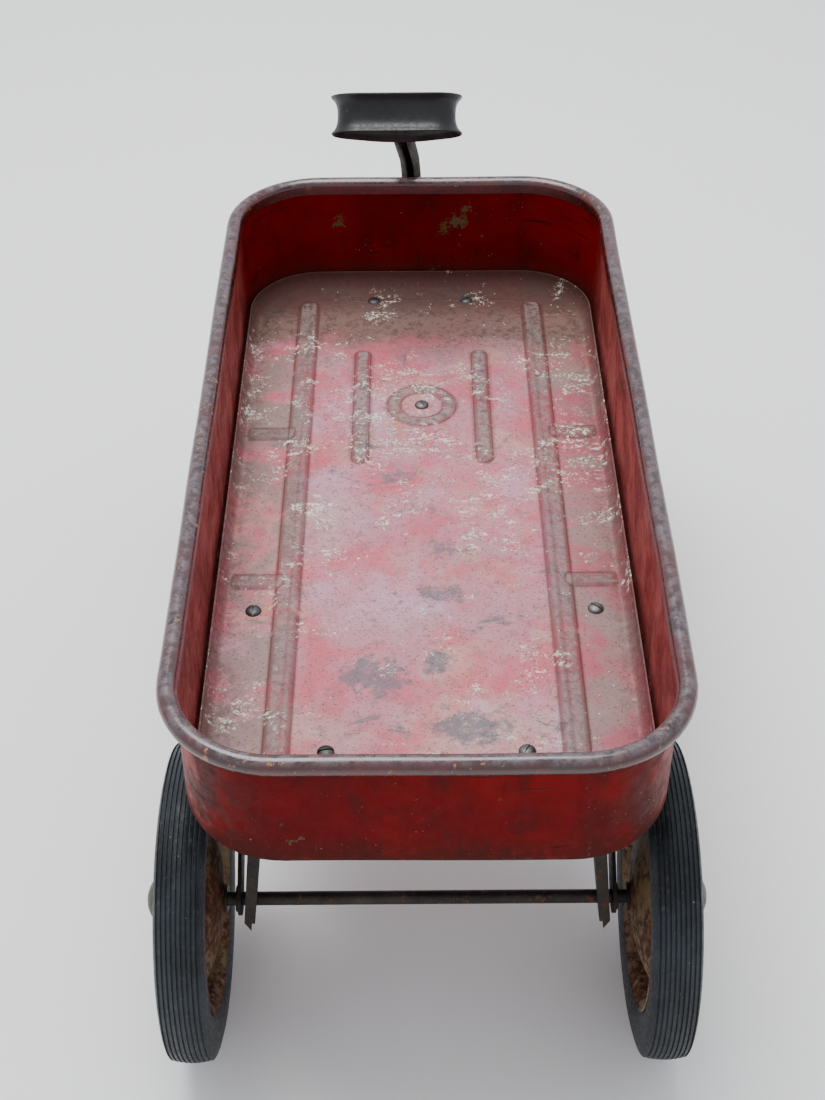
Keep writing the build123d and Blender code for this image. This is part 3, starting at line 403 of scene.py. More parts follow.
def make_floor_enamel():
    f = Finish("floor enamel")
    proud = f.attribute("proud")
    foot = f.attribute("foot")
    broad = f.grain(6, 5, 0.6)
    patch = f.grain(15, 6, 0.62, None, 0.4)
    scuffs = f.grain(1, 6, 0.75, f.stretch((34, 110, 60)))
    fine = f.grain(150, 6, 0.75)
    speck = f.grain(420, 4, 0.7)
    pink = f.over(paint(204, 98, 114), paint(192, 132, 144), f.cut(patch, 0.38, 0.6))
    pink = f.over(pink, paint(204, 78, 92), f.both(f.cut(broad, 0.48, 0.66), f.cut(patch, 0.62, 0.45), 0.5))
    pink = f.over(pink, paint(202, 168, 154), f.both(f.cut(f.grain(11, 6, 0.68), 0.46, 0.66), 0.6))
    pink = f.over(pink, paint(206, 172, 200), f.both(f.cut(f.grain(8, 4, 0.6), 0.50, 0.68), 0.45))
    pink = f.over(pink, paint(206, 128, 84), f.both(f.cut(f.grain(13, 5, 0.6, f.stretch((1.1, 0.9, 1))), 0.64, 0.72), 0.7))
    pink = f.over(pink, paint(150, 116, 116), f.both(f.cut(fine, 0.52, 0.62), 0.7))
    smudge = f.cut(f.grain(17, 6, 0.7, f.stretch((1, 1.25, 1)), 0.8), 0.61, 0.66)
    ragged = f.grain(48, 6, 0.72)
    for spot_x, spot_y, reach in SMUDGES:
        from_x = f.sum("SUBTRACT", f.x, spot_x)
        from_y = f.sum("MULTIPLY", f.sum("SUBTRACT", f.y, RIM_REAR + spot_y), 1.5)
        away = f.sum("POWER", f.sum("ADD", f.both(from_x, from_x), f.both(from_y, from_y)), 0.5)
        near = f.cut(f.sum("SUBTRACT", away, f.both(ragged, 0.11)), reach - 60 * MM, reach - 74 * MM)
        smudge = f.sum("MAXIMUM", smudge, near)
    pink = f.over(pink, paint(100, 104, 112), f.both(smudge, f.cut(fine, 0.3, 0.5), 0.8))
    # painted shade: both sides of the floor are laid over in a greyer, darker tone
    floor_sides_shade = f.cut(f.size(f.x), 104 * MM, 128 * MM)
    pink = f.over(pink, paint(142, 120, 112), f.both(floor_sides_shade, f.cut(patch, 0.42, 0.56), 0.8))
    # painted shade: the right side of the floor is laid over in a darker pink
    right_side_shade = f.cut(f.x, 96 * MM, 150 * MM)
    pink = f.over(pink, paint(158, 82, 90), f.both(right_side_shade, f.cut(patch, 0.62, 0.42), 0.7))
    end = f.cut(f.y, FLOOR_FRONT - 210 * MM, FLOOR_FRONT - 70 * MM)
    mud = f.cut(f.sum("ADD", end, f.both(f.sum("SUBTRACT", patch, 0.5), 1.3)), 0.2, 0.85)
    by_step = f.cut(f.y, FLOOR_FRONT - 95 * MM, FLOOR_FRONT - 50 * MM)
    grey_mud = f.over(paint(116, 92, 82), paint(74, 57, 47), by_step)
    grey_mud = f.over(grey_mud, paint(62, 44, 36), f.both(f.cut(fine, 0.48, 0.6), 0.7))
    pink = f.over(pink, grey_mud, f.both(mud, 0.92))
    # darker brown painted along the floor's upturned sides
    corner = f.cut(f.sum("ADD", f.size(f.x), f.both(f.grain(20, 4, 0.6), 30 * MM)), 160 * MM, 178 * MM)
    pink = f.over(pink, paint(96, 70, 62), f.both(corner, f.cut(fine, 0.35, 0.6), 0.5))
    middle_bead = f.cut(f.size(f.x), 100 * MM, 80 * MM)
    worn = f.both(f.cut(proud, 0.5, 0.95), f.cut(f.grain(160, 6, 0.8), 0.44, 0.52), f.blend(0.5, 1.0, middle_bead))
    pink = f.over(pink, paint(186, 184, 178), f.both(worn, 0.9))
    tarnish = f.both(f.cut(proud, 0.4, 0.9), f.cut(f.grain(110, 6, 0.8), 0.50, 0.58), f.blend(0.6, 1.0, middle_bead))
    pink = f.over(pink, paint(104, 98, 98), f.both(tarnish, 0.75))
    # dirt and painted shade: dark brown laid along the feet of the beads and of the front step
    foot_dirt_and_shade = f.both(foot, f.cut(f.grain(40, 5, 0.6), 0.2, 0.42))
    pink = f.over(pink, paint(84, 44, 42), f.both(foot_dirt_and_shade, 0.9))
    play = f.both(f.cut(f.y, RIM_REAR + 330 * MM, RIM_REAR + 520 * MM),
                  f.cut(f.y, RIM_REAR + 690 * MM, RIM_REAR + 610 * MM))
    clump = f.sum("ADD", f.both(play, 0.07), f.grain(20, 6, 0.7))
    white = f.both(f.cut(f.sum("ADD", f.both(scuffs, 0.4), f.both(f.grain(260, 5, 0.8), 0.6)), 0.525, 0.55),
                   f.cut(clump, 0.55, 0.62))
    pink = f.over(pink, paint(232, 226, 210), f.both(white, 0.9))
    crumbs = f.cut(f.cells(150), 0.12, 0.07)
    crumbs = f.both(crumbs, f.cut(f.grain(30, 4, 0.6), 0.5, 0.58))
    pink = f.over(pink, paint(238, 232, 218), f.both(crumbs, 0.8))
    pink = f.over(pink, paint(84, 62, 64), f.both(f.cut(speck, 0.43, 0.37), 0.7))
    rough = f.blend(0.42, 0.66, f.cut(fine, 0.35, 0.65))
    rough = f.blend(rough, 0.82, mud)
    relief = f.sum("ADD", f.both(fine, 0.4), f.both(speck, 0.3))
    relief = f.sum("ADD", relief, f.both(white, 0.4))
    return f.done(pink, rough, relief, 0.3 * MM, 0.0, 0.35)


FLOOR_ENAMEL = make_floor_enamel()

# %% [markdown]
# ## Finish: rubber, wheel paint, bare and painted steel
# The tyres are black rubber gone blue-grey with dust, the wheels are cream paint over rust, and the
# undercarriage is black paint gone to brown scale. Each is a base colour, one or two masks and a bump.


# %% Rubber
def make_rubber():
    f = Finish("dusty tyre rubber")
    broad = f.grain(18, 5, 0.6)
    fine = f.grain(240, 5, 0.7)
    black = f.over(paint(20, 24, 28), paint(42, 49, 55), f.cut(broad, 0.35, 0.68))
    black = f.over(black, paint(84, 92, 98), f.both(f.cut(fine, 0.52, 0.7), 0.4))
    specks = f.both(f.cut(f.grain(300, 3, 0.6), 0.70, 0.74), f.cut(f.grain(30, 4, 0.6), 0.45, 0.6))
    black = f.over(black, paint(190, 192, 192), f.both(specks, 0.7))
    rough = f.blend(0.42, 0.7, f.cut(fine, 0.35, 0.65))
    return f.done(black, rough, fine, 0.15 * MM, 0.0, 0.35)


RUBBER = make_rubber()


# %% Wheel paint
def make_wheel_paint():
    f = Finish("cream wheel paint")
    patch = f.grain(26, 6, 0.65, None, 0.5)
    fine = f.grain(160, 6, 0.7)
    cream = f.over(paint(134, 112, 80), paint(104, 84, 58), f.cut(patch, 0.35, 0.6))
    rust = f.cut(f.sum("ADD", f.both(f.grain(14, 5, 0.6), 0.6), f.both(fine, 0.4)), 0.44, 0.54)
    cream = f.over(cream, f.over(paint(104, 60, 30), paint(56, 34, 22), f.cut(fine, 0.4, 0.6)), rust)
    spots = f.cut(f.grain(300, 3, 0.6), 0.64, 0.68)
    cream = f.over(cream, paint(60, 42, 32), f.both(spots, 0.7))
    rough = f.blend(0.5, 0.85, rust)
    return f.done(cream, rough, f.sum("ADD", f.both(rust, 0.4), f.both(fine, 0.4)), 0.3 * MM, 0.0, 0.3)


WHEEL_PAINT = make_wheel_paint()


# %% Steel finishes
def make_steel(name, dark, light, rust_colour, rust_from, rough_low, rough_high, metal=0.0, gloss=0.4):
    """Painted or bare steel with rust in its noise."""
    f = Finish(name)
    patch = f.grain(30, 6, 0.62)
    fine = f.grain(220, 6, 0.7)
    colour = f.over(dark, light, f.cut(patch, 0.35, 0.68))
    rust = f.cut(f.sum("ADD", f.both(f.grain(55, 5, 0.65), 0.65), f.both(fine, 0.35)), rust_from, rust_from + 0.08)
    colour = f.over(colour, rust_colour, f.both(rust, 0.85))
    rough = f.blend(rough_low, rough_high, f.cut(fine, 0.35, 0.65))
    rough = f.blend(rough, 0.88, rust)
    shine = f.both(f.cut(rust, 1.0, 0.0), metal)
    return f.done(colour, rough, fine, 0.2 * MM, shine, gloss)


FRAME_STEEL = make_steel("undercarriage black", paint(30, 26, 24), paint(54, 44, 38), paint(88, 56, 38),
                         0.53, 0.5, 0.75)
AXLE_STEEL = make_steel("axle steel", paint(40, 36, 34), paint(66, 58, 52), paint(92, 62, 42),
                        0.55, 0.4, 0.6, 0.6)
BOLT_STEEL = make_steel("bolt steel", paint(60, 60, 60), paint(112, 112, 110), paint(66, 46, 36),
                        0.56, 0.35, 0.55, 0.7)
CAP_PAINT = make_steel("hub cap paint", paint(62, 60, 50), paint(100, 97, 84), paint(74, 54, 38),
                       0.58, 0.4, 0.6, 0.2)
TONGUE_STEEL = make_steel("tongue steel", paint(26, 18, 16), paint(58, 50, 38), paint(56, 34, 24),
                          0.53, 0.62, 0.85, 0.0, 0.1)
GRIP_STEEL = make_steel("grip black", paint(9, 10, 12), paint(22, 24, 27), paint(70, 62, 58),
                        0.62, 0.3, 0.5, 0.0, 0.4)

# %% [markdown]
# ## The tub
# The real tub is one long strip of steel: its lower edge is turned in as a seat for the floor, the strip
# stands as the wall, and its upper edge is curled outwards into a round rim. It could be a boxed mesh with
# bevels, but a drawn section carried round the outline bends the way the strip does, so the curl stays
# round at the corners. The section is the strip's middle line; Solidify gives it its gauge.


# %% Section of the strip
def strip_section():
    """Points of the strip as (distance in from the rim's outer edge, height), from seat to curl."""
    wall = 13.0 * MM
    bend = 17.4 * MM
    curl = BEAD_RADIUS - SHEET / 2
    curl_z = RIM_TOP - BEAD_RADIUS
    base = TUB_BOTTOM + SHEET / 2
    points = [(55.4 * MM, base), (43 * MM, base)]
    for step in range(9):
        angle = math.radians(90 * step / 8)
        points.append((wall + bend - bend * math.sin(angle), base + bend - bend * math.cos(angle)))
    for share in (0.2, 0.4, 0.6, 0.8):
        top = curl_z - 15 * MM
        points.append((wall, base + bend + (top - base - bend) * share))
    points += [(wall, curl_z - 15 * MM), (wall + 0.2 * MM, curl_z - 10 * MM), (wall + 0.7 * MM, curl_z - 5 * MM)]
    for step in range(21):
        angle = math.radians(-8 + 316 * step / 20)
        points.append((BEAD_RADIUS + curl * math.cos(angle), curl_z + curl * math.sin(angle)))
    return points


print(len(strip_section()), "points in the strip's section")


# %% Carry the section round the tub
def round_the_tub(name, section):
    """A section swept round the rim's outline, by runs and corner turns."""
    straight_x = RIM_WIDTH - 2 * RIM_CORNER
    straight_y = RIM_LENGTH - 2 * RIM_CORNER
    left = -straight_x / 2
    piece = draw_section(name, [Vector((left, RIM_REAR + inset, z)) for inset, z in section])
    rear = RIM_REAR + RIM_CORNER
    front = rear + straight_y
    run((straight_x, 0, 0), 10)
    turn((-left, rear, 0), (0, 0, 1), 90, 14)
    run((0, straight_y, 0), 24)
    turn((-left, front, 0), (0, 0, 1), 90, 14)
    run((-straight_x, 0, 0), 10)
    turn((left, front, 0), (0, 0, 1), 90, 14)
    run((0, -straight_y, 0), 24)
    turn((left, rear, 0), (0, 0, 1), 90, 14)
    close_up()
    return piece


def dent(piece, depth, size, seed):
    """Slow waves in the sheet, as knocks and the roller leave them."""
    for vertex in piece.data.vertices:
        place = Vector(vertex.co) / size + Vector((seed, seed, seed))
        wave = noise.noise_vector(place)
        vertex.co.x += wave.x * depth
        vertex.co.y += wave.y * depth
        vertex.co.z += wave.z * depth * 0.5


tub = round_the_tub("tub_shell", strip_section())
dent(tub, 0.9 * MM, 0.11, 3.0)
thicken(tub, SHEET)
finish_piece(tub, "wagon_body", RED_ENAMEL, ["body_shell"], 40)

# %% [markdown]
# ## The floor
# The floor is one pressed sheet: an upturned edge, two long beads, cross ribs, two short beads and a round
# boss. Bevels and insets would give hard, even steps, but a press draws the sheet in soft slopes. So this
# piece starts as a fine grid, and a formula moves its points: the outer rows fold up into the edge, the
# corners are drawn round, and each bead lifts the points inside its outline.


# %% Beads as outlines
def smooth(value, low, high):
    """0 to 1 between low and high, with soft ends."""
    share = np.clip((value - low) / (high - low), 0, 1)
    return share * share * (3 - 2 * share)


def bar_distance(x, y, cx, cy, width, length, corner):
    """Distance outside a rounded bar, negative inside."""
    dx = np.abs(x - cx) - width / 2 + corner
    dy = np.abs(y - cy) - length / 2 + corner
    outside = np.hypot(np.maximum(dx, 0), np.maximum(dy, 0))
    return outside + np.minimum(np.maximum(dx, dy), 0) - corner


def pressed_floor(x, y):
    """Height, proudness and nearness to a bead's foot, for points given in millimetres."""
    height = np.zeros_like(x)
    proud = np.zeros_like(x)
    foot = np.zeros_like(x)
    beads = []
    for side in (-1, 1):
        beads.append((bar_distance(x, y, side * 115.5, 390, 18, 744, 8), 3.0, 3.0))
        beads.append((bar_distance(x, y, side * 58, 579, 13, 182, 6.3), 2.8, 2.2))
        for rib in (322, 533):
            beads.append((bar_distance(x, y, side * 148, rib, 54, 15, 5), 2.4, 3.0))
    radius = np.hypot(x, y - 578)
    beads.append((np.abs(radius - 27) - 5, 2.0, 2.4))
    for distance, rise, slope in beads:
        lift = smooth(distance, slope * 0.6, -slope)
        height = np.maximum(height, rise * lift)
        proud = np.maximum(proud, smooth(distance, 0.5, -3.0))
        foot = np.maximum(foot, np.exp(-((distance - 1.2) / 1.7) ** 2))
    panel = bar_distance(x, y, 0, 380, 226, 774, 16)
    side_panel = np.minimum(bar_distance(x, y, -146, 380, 46, 716, 8), bar_distance(x, y, 146, 380, 46, 716, 8))
    step = np.maximum(smooth(panel, 1.8, -1.8), smooth(side_panel, 1.8, -1.8))
    near_front = smooth(y, 700, 730)
    # along the front step: a darker line at its foot (dirt and painted shade) and a lighter line at its edge (worn
    # paint and a painted highlight)
    foot = np.maximum(foot, 0.7 * near_front * np.exp(-((panel - 1.5) / 1.8) ** 2))
    proud = np.maximum(proud, 0.75 * near_front * np.exp(-((panel + 0.8) / 1.6) ** 2))
    return height + 1.2 * step, proud, foot


# %% Press the sheet
EDGE_INSET = 17.7          # millimetres from the rim's outer edge to the upturned edge
EDGE_BEND = 14.4
EDGE_UP = 4.5


def fold(spare):
    """Where a point at this distance from the flat sheet's edge ends up: (inward, height)."""
    arc = EDGE_BEND * math.pi / 2
    swing = np.clip((spare - EDGE_UP) / EDGE_BEND, 0, math.pi / 2)
    inward = EDGE_BEND * (1 - np.cos(swing)) + np.maximum(spare - EDGE_UP - arc, 0)
    height = EDGE_BEND * (1 - np.sin(swing)) + np.maximum(EDGE_UP - spare, 0)
    return inward, height


def rows(*stretches):
    """Row places from stretches of (start, end, spacing)."""
    places = []
    for start, end, spacing in stretches:
        count = max(1, round((end - start) / spacing))
        places += [start + (end - start) * index / count for index in range(count)]
    return np.array(places + [stretches[-1][1]])


def press_floor():
    """The grid, folded, rounded and pressed."""
    width = RIM_WIDTH / MM
    length = RIM_LENGTH / MM
    spare = EDGE_BEND * math.pi / 2 + EDGE_UP - EDGE_BEND
    half = width / 2 - EDGE_INSET + spare
    corner = RIM_CORNER / MM - EDGE_INSET + spare
    right = rows((0, 20, 2.2), (20, 34, 1.8), (34, 49, 3), (49, 67, 1.3), (67, 102, 3.5), (102, 130, 1.4),
                 (130, 158, 3.5), (158, half, 2.6))
    across = np.concatenate([-right[:0:-1], right])
    first = EDGE_INSET - spare
    last = length - EDGE_INSET + spare
    along = rows((first, 36, 2.8), (36, 310, 7), (310, 334, 1.6), (334, 484, 6), (484, 496, 1.6), (496, 520, 4),
                 (520, 546, 1.7), (546, 610, 2.0), (610, 662, 4), (662, 674, 1.6), (674, 728, 5),
                 (728, 778, 1.7), (778, last, 2.6))
    let_go()
    bpy.ops.mesh.primitive_grid_add(x_subdivisions=len(across) - 1, y_subdivisions=len(along) - 1, size=1)
    piece = bpy.context.object
    piece.name = "floor_sheet"
    count = len(piece.data.vertices)
    raw = np.zeros(count * 3)
    piece.data.vertices.foreach_get("co", raw)
    raw = raw.reshape(-1, 3)
    column = np.rint((raw[:, 0] + 0.5) * (len(across) - 1)).astype(int)
    row = np.rint((raw[:, 1] + 0.5) * (len(along) - 1)).astype(int)
    u, v = across[column], along[row] - length / 2
    inner_x, inner_y = half - corner, (last - first) / 2 - corner
    over_x = np.maximum(np.abs(u) - inner_x, 0)
    over_y = np.maximum(np.abs(v) - inner_y, 0)
    reach = np.maximum(over_x, over_y)
    inward, height = fold(corner - reach)
    radius = corner - spare - inward
    turned = np.hypot(over_x, over_y)
    safe = np.maximum(turned, 1e-9)
    in_ring = reach > 0
    x = np.sign(u) * np.where(in_ring, np.minimum(np.abs(u), inner_x) + radius * over_x / safe, np.abs(u))
    y = np.sign(v) * np.where(in_ring, np.minimum(np.abs(v), inner_y) + radius * over_y / safe, np.abs(v))
    height = np.where(in_ring, height, 0)
    y = y + length / 2
    lift, proud, foot = pressed_floor(x, y)
    flat = smooth(height, 1.5, 0.0)
    waves = np.array([noise.noise(Vector((px / 85, py / 85, 7.7))) for px, py in zip(x, y)])
    ripples = np.array([noise.noise(Vector((px / 28, py / 28, 1.7))) for px, py in zip(x, y)])
    height = height + lift * flat + 0.45 * (1 + waves) * flat + 0.12 * ripples
    base = TUB_BOTTOM / MM + 1.8
    places = np.stack([x * MM, RIM_REAR + y * MM, (base + height) * MM], 1)
    piece.data.vertices.foreach_set("co", places.ravel())
    for name, values in (("proud", proud * flat), ("foot", np.maximum(foot * flat, smooth(height, 0.8, 4) * 0.6))):
        layer = piece.data.attributes.new(name, "FLOAT", "POINT")
        layer.data.foreach_set("value", values.astype(np.float32))
    piece.data.update()
    return piece


floor = press_floor()
floor_points = [vertex.co.copy() for vertex in floor.data.vertices]
thicken(floor, SHEET)
finish_piece(floor, "wagon_body", FLOOR_ENAMEL, ["floor_pan"], 60)

# %% [markdown]
# ## Floor bolts
# Seven slotted, round-headed bolts hold the running gear. One is turned from a quarter section, its slot is
# sunk by pushing a row of faces down, and the rest are copies, each turned a little, as hands leave them.


# %% Bolt heads
def turned_piece(name, profile, place, axis, steps=48):
    """A profile of (radius, height along the axis) turned once round."""
    axis = Vector(axis)
    side = Vector((0, 0, 1)) if abs(axis.x) > 0.5 else Vector((1, 0, 0))
    points = [Vector(place) + side * radius + axis * height for radius, height in profile]
    piece = draw_section(name, points)
    turn(place, axis, 360, steps)
    close_up()
    return piece


def head_profile(radius, height, shank):
    """A domed head over a short shank."""
    profile = [(0.0, height)]
    for step in range(1, 8):
        angle = math.radians(90 * step / 7)
        profile.append((radius * math.sin(angle), height * math.cos(angle) ** 0.8 if step < 7 else 0.4 * MM))
    profile += [(radius, 0.0), (3.1 * MM, 0.0), (3.1 * MM, -shank), (0.0, -shank)]
    return profile


def make_bolt(name, place, slot_turn):
    """One bolt with a sawn slot."""
    bolt = turned_piece(name, head_profile(6.8 * MM, 3.5 * MM, 15 * MM), place, (0, 0, 1), 32)
    take(bolt)
    bpy.ops.object.mode_set(mode="EDIT")
    direction = Vector((math.cos(slot_turn), math.sin(slot_turn), 0))
    for offset in (-0.7 * MM, 0.7 * MM):
        bpy.ops.mesh.select_all(action="SELECT")
        bpy.ops.mesh.bisect(plane_co=Vector(place) + direction * offset, plane_no=direction)
    bpy.ops.mesh.select_all(action="SELECT")
    bpy.ops.mesh.remove_doubles(threshold=0.05 * MM)
    bpy.ops.mesh.select_mode(type="FACE")
    bpy.ops.mesh.select_all(action="DESELECT")
    bpy.ops.object.mode_set(mode="OBJECT")
    for face in bolt.data.polygons:
        near = abs((face.center - Vector(place)).dot(direction)) < 0.6 * MM
        face.select = near and face.center.z > place[2] + 0.5 * MM
    bpy.ops.object.mode_set(mode="EDIT")
    bpy.ops.mesh.extrude_region_move(TRANSFORM_OT_translate={"value": (0, 0, -1.1 * MM)})
    bpy.ops.mesh.select_mode(type="VERT")
    bpy.ops.object.mode_set(mode="OBJECT")
    return bolt


BOLT_PLACES = [(0, 578), (-48, 766), (48, 766), (-143, 285), (143, 285), (-77, 124), (77, 124)]
bolts = []
for number, (bolt_x, bolt_y) in enumerate(BOLT_PLACES):
    spot = Vector((bolt_x * MM, RIM_REAR + bolt_y * MM, TUB_BOTTOM))
    seat = min(floor_points, key=lambda point: (point - spot).length).z + SHEET / 2
    where = (spot.x, spot.y, seat)
    bolts.append(make_bolt(f"floor_bolt_{number + 1}", where, 0.4 + 0.9 * number))
let_go()
for bolt in bolts:
    bolt.select_set(True)
bpy.context.view_layer.objects.active = bolts[0]
bpy.ops.object.join()
bolts[0].name = "floor_bolt_heads"
finish_piece(bolts[0], "wagon_body", BOLT_STEEL, ["floor_bolts"], 35)

# %% [markdown]
# ## Wheels
# A wheel is all turned parts, so each is a half section spun once about the axle. The tyre's tread has fine
# grooves all round, which are drawn in the section. The four wheels are alike, but each is made in its own
# place, so that its finish, which reads places on the wagon, doesn't repeat from wheel to wheel.


# %% Sections of the wheel
def tyre_section():
    """The tyre as (radius, outward), a closed loop."""
    half = 18.85
    side = [(92, half - 3.2), (97, half - 1.2), (103, half - 0.2), (109, half), (114, half - 0.3),
            (115, half - 0.1), (116, half - 0.5), (119.5, half - 1.2), (122.2, half - 1.9), (124.0, half - 2.6)]
    tread = []
    for groove in range(9):
        u = (4 - groove) * 3.65
        crown = 127 - 1.9 * (u / 14.6) ** 2
        tread += [(crown, u + 0.8), (crown - 0.35, u + 0.5), (crown - 1.3, u + 0.35), (crown - 1.3, u - 0.35),
                  (crown - 0.35, u - 0.5), (crown, u - 0.8)]
    other = [(radius, -outward) for radius, outward in side[::-1]]
    seat = [(84.6, -9), (84.6, 9)]
    return side + tread + other + seat


def disc_section():
    """Middle line of one pressed half wheel."""
    return [(9.6, 21.8), (11.5, 21.0), (14, 19.6), (22, 19.0), (30, 18.2), (38, 16.6), (46, 14.2), (54, 11.4),
            (62, 8.0), (68, 5.2), (72, 2.8), (75, 1.2), (76.6, 0.75), (79, 0.75), (80.6, 1.6), (81.8, 4.0),
            (82.4, 7.0), (83.2, 10.0), (85.0, 12.6), (87.6, 14.4), (89.2, 15.4), (90.0, 16.6)]


def cap_section():
    """The hub cap, from its middle to its rolled foot."""
    points = [(0.0, 39.9)]
    for step in range(1, 13):
        angle = math.radians(90 * step / 12)
        points.append((21.5 * math.sin(angle), 22.6 + 17.3 * math.cos(angle)))
    return points + [(21.6, 21.0), (21.9, 20.4), (21.3, 20.2), (20.7, 20.6), (20.7, 22.4), (0.0, 22.4)]


def to_place(section, centre, side):
    """Section points above the axle, at one wheel."""
    return [Vector((centre.x + side * u * MM, centre.y, centre.z + radius * MM)) for radius, u in section]


print(len(tyre_section()), "points in the tyre's section")


# %% Turn the wheels
def spun(name, points, centre, steps, closed=False):
    """Section points spun once about the axle."""
    piece = draw_section(name, points, closed)
    turn(centre, (1, 0, 0), 360, steps)
    close_up()
    return piece


for end in ("front", "rear"):
    for hand, side in (("left", -1), ("right", 1)):
        wheel = f"{end}_{hand}"
        body = wheel + "_wheel"
        hub = middle(wheel + "_tyre")
        tyre = spun(wheel + "_tyre_rubber", to_place(tyre_section(), hub, side), hub, 120, True)
        finish_piece(tyre, body, RUBBER, [wheel + "_tyre"], 40)
        for face, direction in (("outer", side), ("inner", -side)):
            disc = spun(f"{wheel}_{face}_pressing", to_place(disc_section(), hub, direction), hub, 96)
            thicken(disc, 1.4 * MM)
            finish_piece(disc, body, WHEEL_PAINT, [f"{wheel}_{face}_disc"], 45)
        cap = spun(wheel + "_cap", to_place(cap_section(), hub, side), hub, 64)
        finish_piece(cap, body, CAP_PAINT, [wheel + "_hub_cap"], 50)

# %% [markdown]
# ## The tongue
# The tongue is an open-seam tube with one bend, and it ends in a D-shaped grip of flared strip. Both are
# drawn upright in their own plane first, where a bend is a plain spin, and then set on the hinge. The
# hinge is worn, so that plane leans; its tilt is read from the joint's axis in the frame.


# %% The tongue's own plane
tongue_joint = next(joint for joint in frame["joints"] if joint["name"] == "tongue_fold")
hinge = Vector(tongue_joint["pos_m"])
across = -Vector(tongue_joint["axis"]).normalized()
forward = Vector((0, 0, 1)).cross(across).normalized()
upward = across.cross(forward)
tongue_place = Matrix.Translation(hinge) @ Matrix((across, forward, upward)).transposed().to_4x4()
print("hinge leans", round(math.degrees(math.asin(across.z)), 2), "degrees")


def set_on_hinge(piece, place=tongue_place):
    """Move a finished piece from the drawing plane to the hinge."""
    piece.data.transform(place)
    piece.data.update()


# %% Tube path
LOWER = 166 * MM
BEND = 95 * MM
UPPER = 197 * MM
START = math.radians(97)
FINISH = math.radians(36.4)


def along(angle):
    """Unit step up the tube at an angle from the backward horizontal."""
    return Vector((0, -math.cos(angle), math.sin(angle)))


def aside(angle):
    """Unit step square to the tube, towards the inside of the bend."""
    return Vector((0, -math.sin(angle), -math.cos(angle)))


bend_start = along(START) * LOWER
bend_centre = bend_start + aside(START) * BEND
bend_end = bend_centre - aside(FINISH) * BEND
tube_end = bend_end + along(FINISH) * UPPER
print("tube ends at", [round(value, 4) for value in tube_end])


# %% Bend the tube
def tube_section():
    """Open-seam section at the hinge end: a ring with rolled-in lips at the seam."""
    radius = 9.6 * MM
    half_gap = math.radians(30)
    points = []
    for step in range(29):
        angle = half_gap + (2 * math.pi - 2 * half_gap) * step / 28
        points.append((radius * math.sin(angle), radius * math.cos(angle)))
    points = [(points[0][0] * 0.8, points[0][1] - 2.2 * MM)] + points
    points.append((points[-1][0] * 0.8, points[-1][1] - 2.2 * MM))
    origin = along(START) * 6 * MM
    return [origin + Vector((1, 0, 0)) * x + aside(START) * y for x, y in points]


shaft = draw_section("tongue_tube", tube_section())
run(along(START) * (LOWER - 6 * MM), 6)
turn(bend_centre, (1, 0, 0), math.degrees(START - FINISH), 16)
run(along(FINISH) * UPPER, 8)
close_up()
thicken(shaft, 1.7 * MM)
set_on_hinge(shaft)
finish_piece(shaft, "tongue", TONGUE_STEEL, ["tongue_shaft"], 40)

# %% [markdown]
# ## The grip
# The grip is a strip of steel, hollow on its outside so that its edges flare away from the hand, bent to a
# D. The strip's section is carried round the D by runs and turns. The D is worked out from its corner
# points and bend radii, which is how a blacksmith would mark it out.


# %% The D's outline
def d_outline():
    """Corners of the D as (x, y, bend radius), from the middle of the far bar, clockwise."""
    half, depth, shoulder, apex = 53.75, 80.0, 36.0, 15.0
    return [(half, depth, 20), (half, shoulder, 38), (apex, 0, 28), (-apex, 0, 28), (-half, shoulder, 38),
            (-half, depth, 20)]


def bends(corners):
    """For each corner: where its bend starts, its centre and how far it turns."""
    found = []
    for index, (x, y, radius) in enumerate(corners):
        here = Vector((x, y)) * MM
        before = Vector(corners[index - 1][:2]) * MM
        after = Vector(corners[(index + 1) % len(corners)][:2]) * MM
        go_in = (here - before).normalized()
        go_out = (after - here).normalized()
        angle = go_in.angle(go_out)
        tangent = radius * MM * math.tan(angle / 2)
        start = here - go_in * tangent
        right_hand = Vector((go_in.y, -go_in.x))
        found.append((start, start + right_hand * radius * MM, math.degrees(angle), here + go_out * tangent))
    return found


def grip_strip(half_band, flare, start):
    """Section of the strip where it starts, on the far bar: outward is +Y."""
    points = []
    for step in range(13):
        share = -1 + 2 * step / 12
        points.append(Vector((start.x, start.y + flare * share ** 2 * (0.35 + 0.65 * share ** 2), half_band * share)))
    return points


# %% Bend the strip
GRIP_UNTWIST = 1.6         # degrees that the worn grip has twisted back to level on the leaning tube
grip_bends = bends(d_outline())
far_middle = Vector((0, 80 * MM))
grip = draw_section("grip_band", grip_strip(16.2 * MM, 6.2 * MM, far_middle))
place = far_middle
for bend_from, centre, degrees, bend_to in grip_bends:
    gap = bend_from - place
    run((gap.x, gap.y, 0), 3)
    turn((centre.x, centre.y, 0), (0, 0, -1), degrees, 10)
    place = bend_to
gap = far_middle - place
run((gap.x, gap.y, 0), 3)
close_up()
thicken(grip, 1.6 * MM, -1)
soften(grip, 0.5 * MM, 2, 50)
pitch = Matrix.Rotation(math.radians(180 - 33), 4, "X")
grip_place = tongue_place @ Matrix.Translation(tube_end) @ pitch @ Matrix.Translation((0, -6 * MM, 0))
tube_tip = tongue_place @ tube_end
untwist = Matrix.Rotation(math.radians(GRIP_UNTWIST), 4, "Y")
grip_place = Matrix.Translation(tube_tip) @ untwist @ Matrix.Translation(-tube_tip) @ grip_place
set_on_hinge(grip, grip_place)
finish_piece(grip, "tongue", GRIP_STEEL, ["grip"], 40)

# %% [markdown]
# ## Frame parts that stay
# The undercarriage, axles, pins and nuts are plain forged and cut shapes, and the frame's own solids are
# already right. They keep their meshes and only get their finishes.

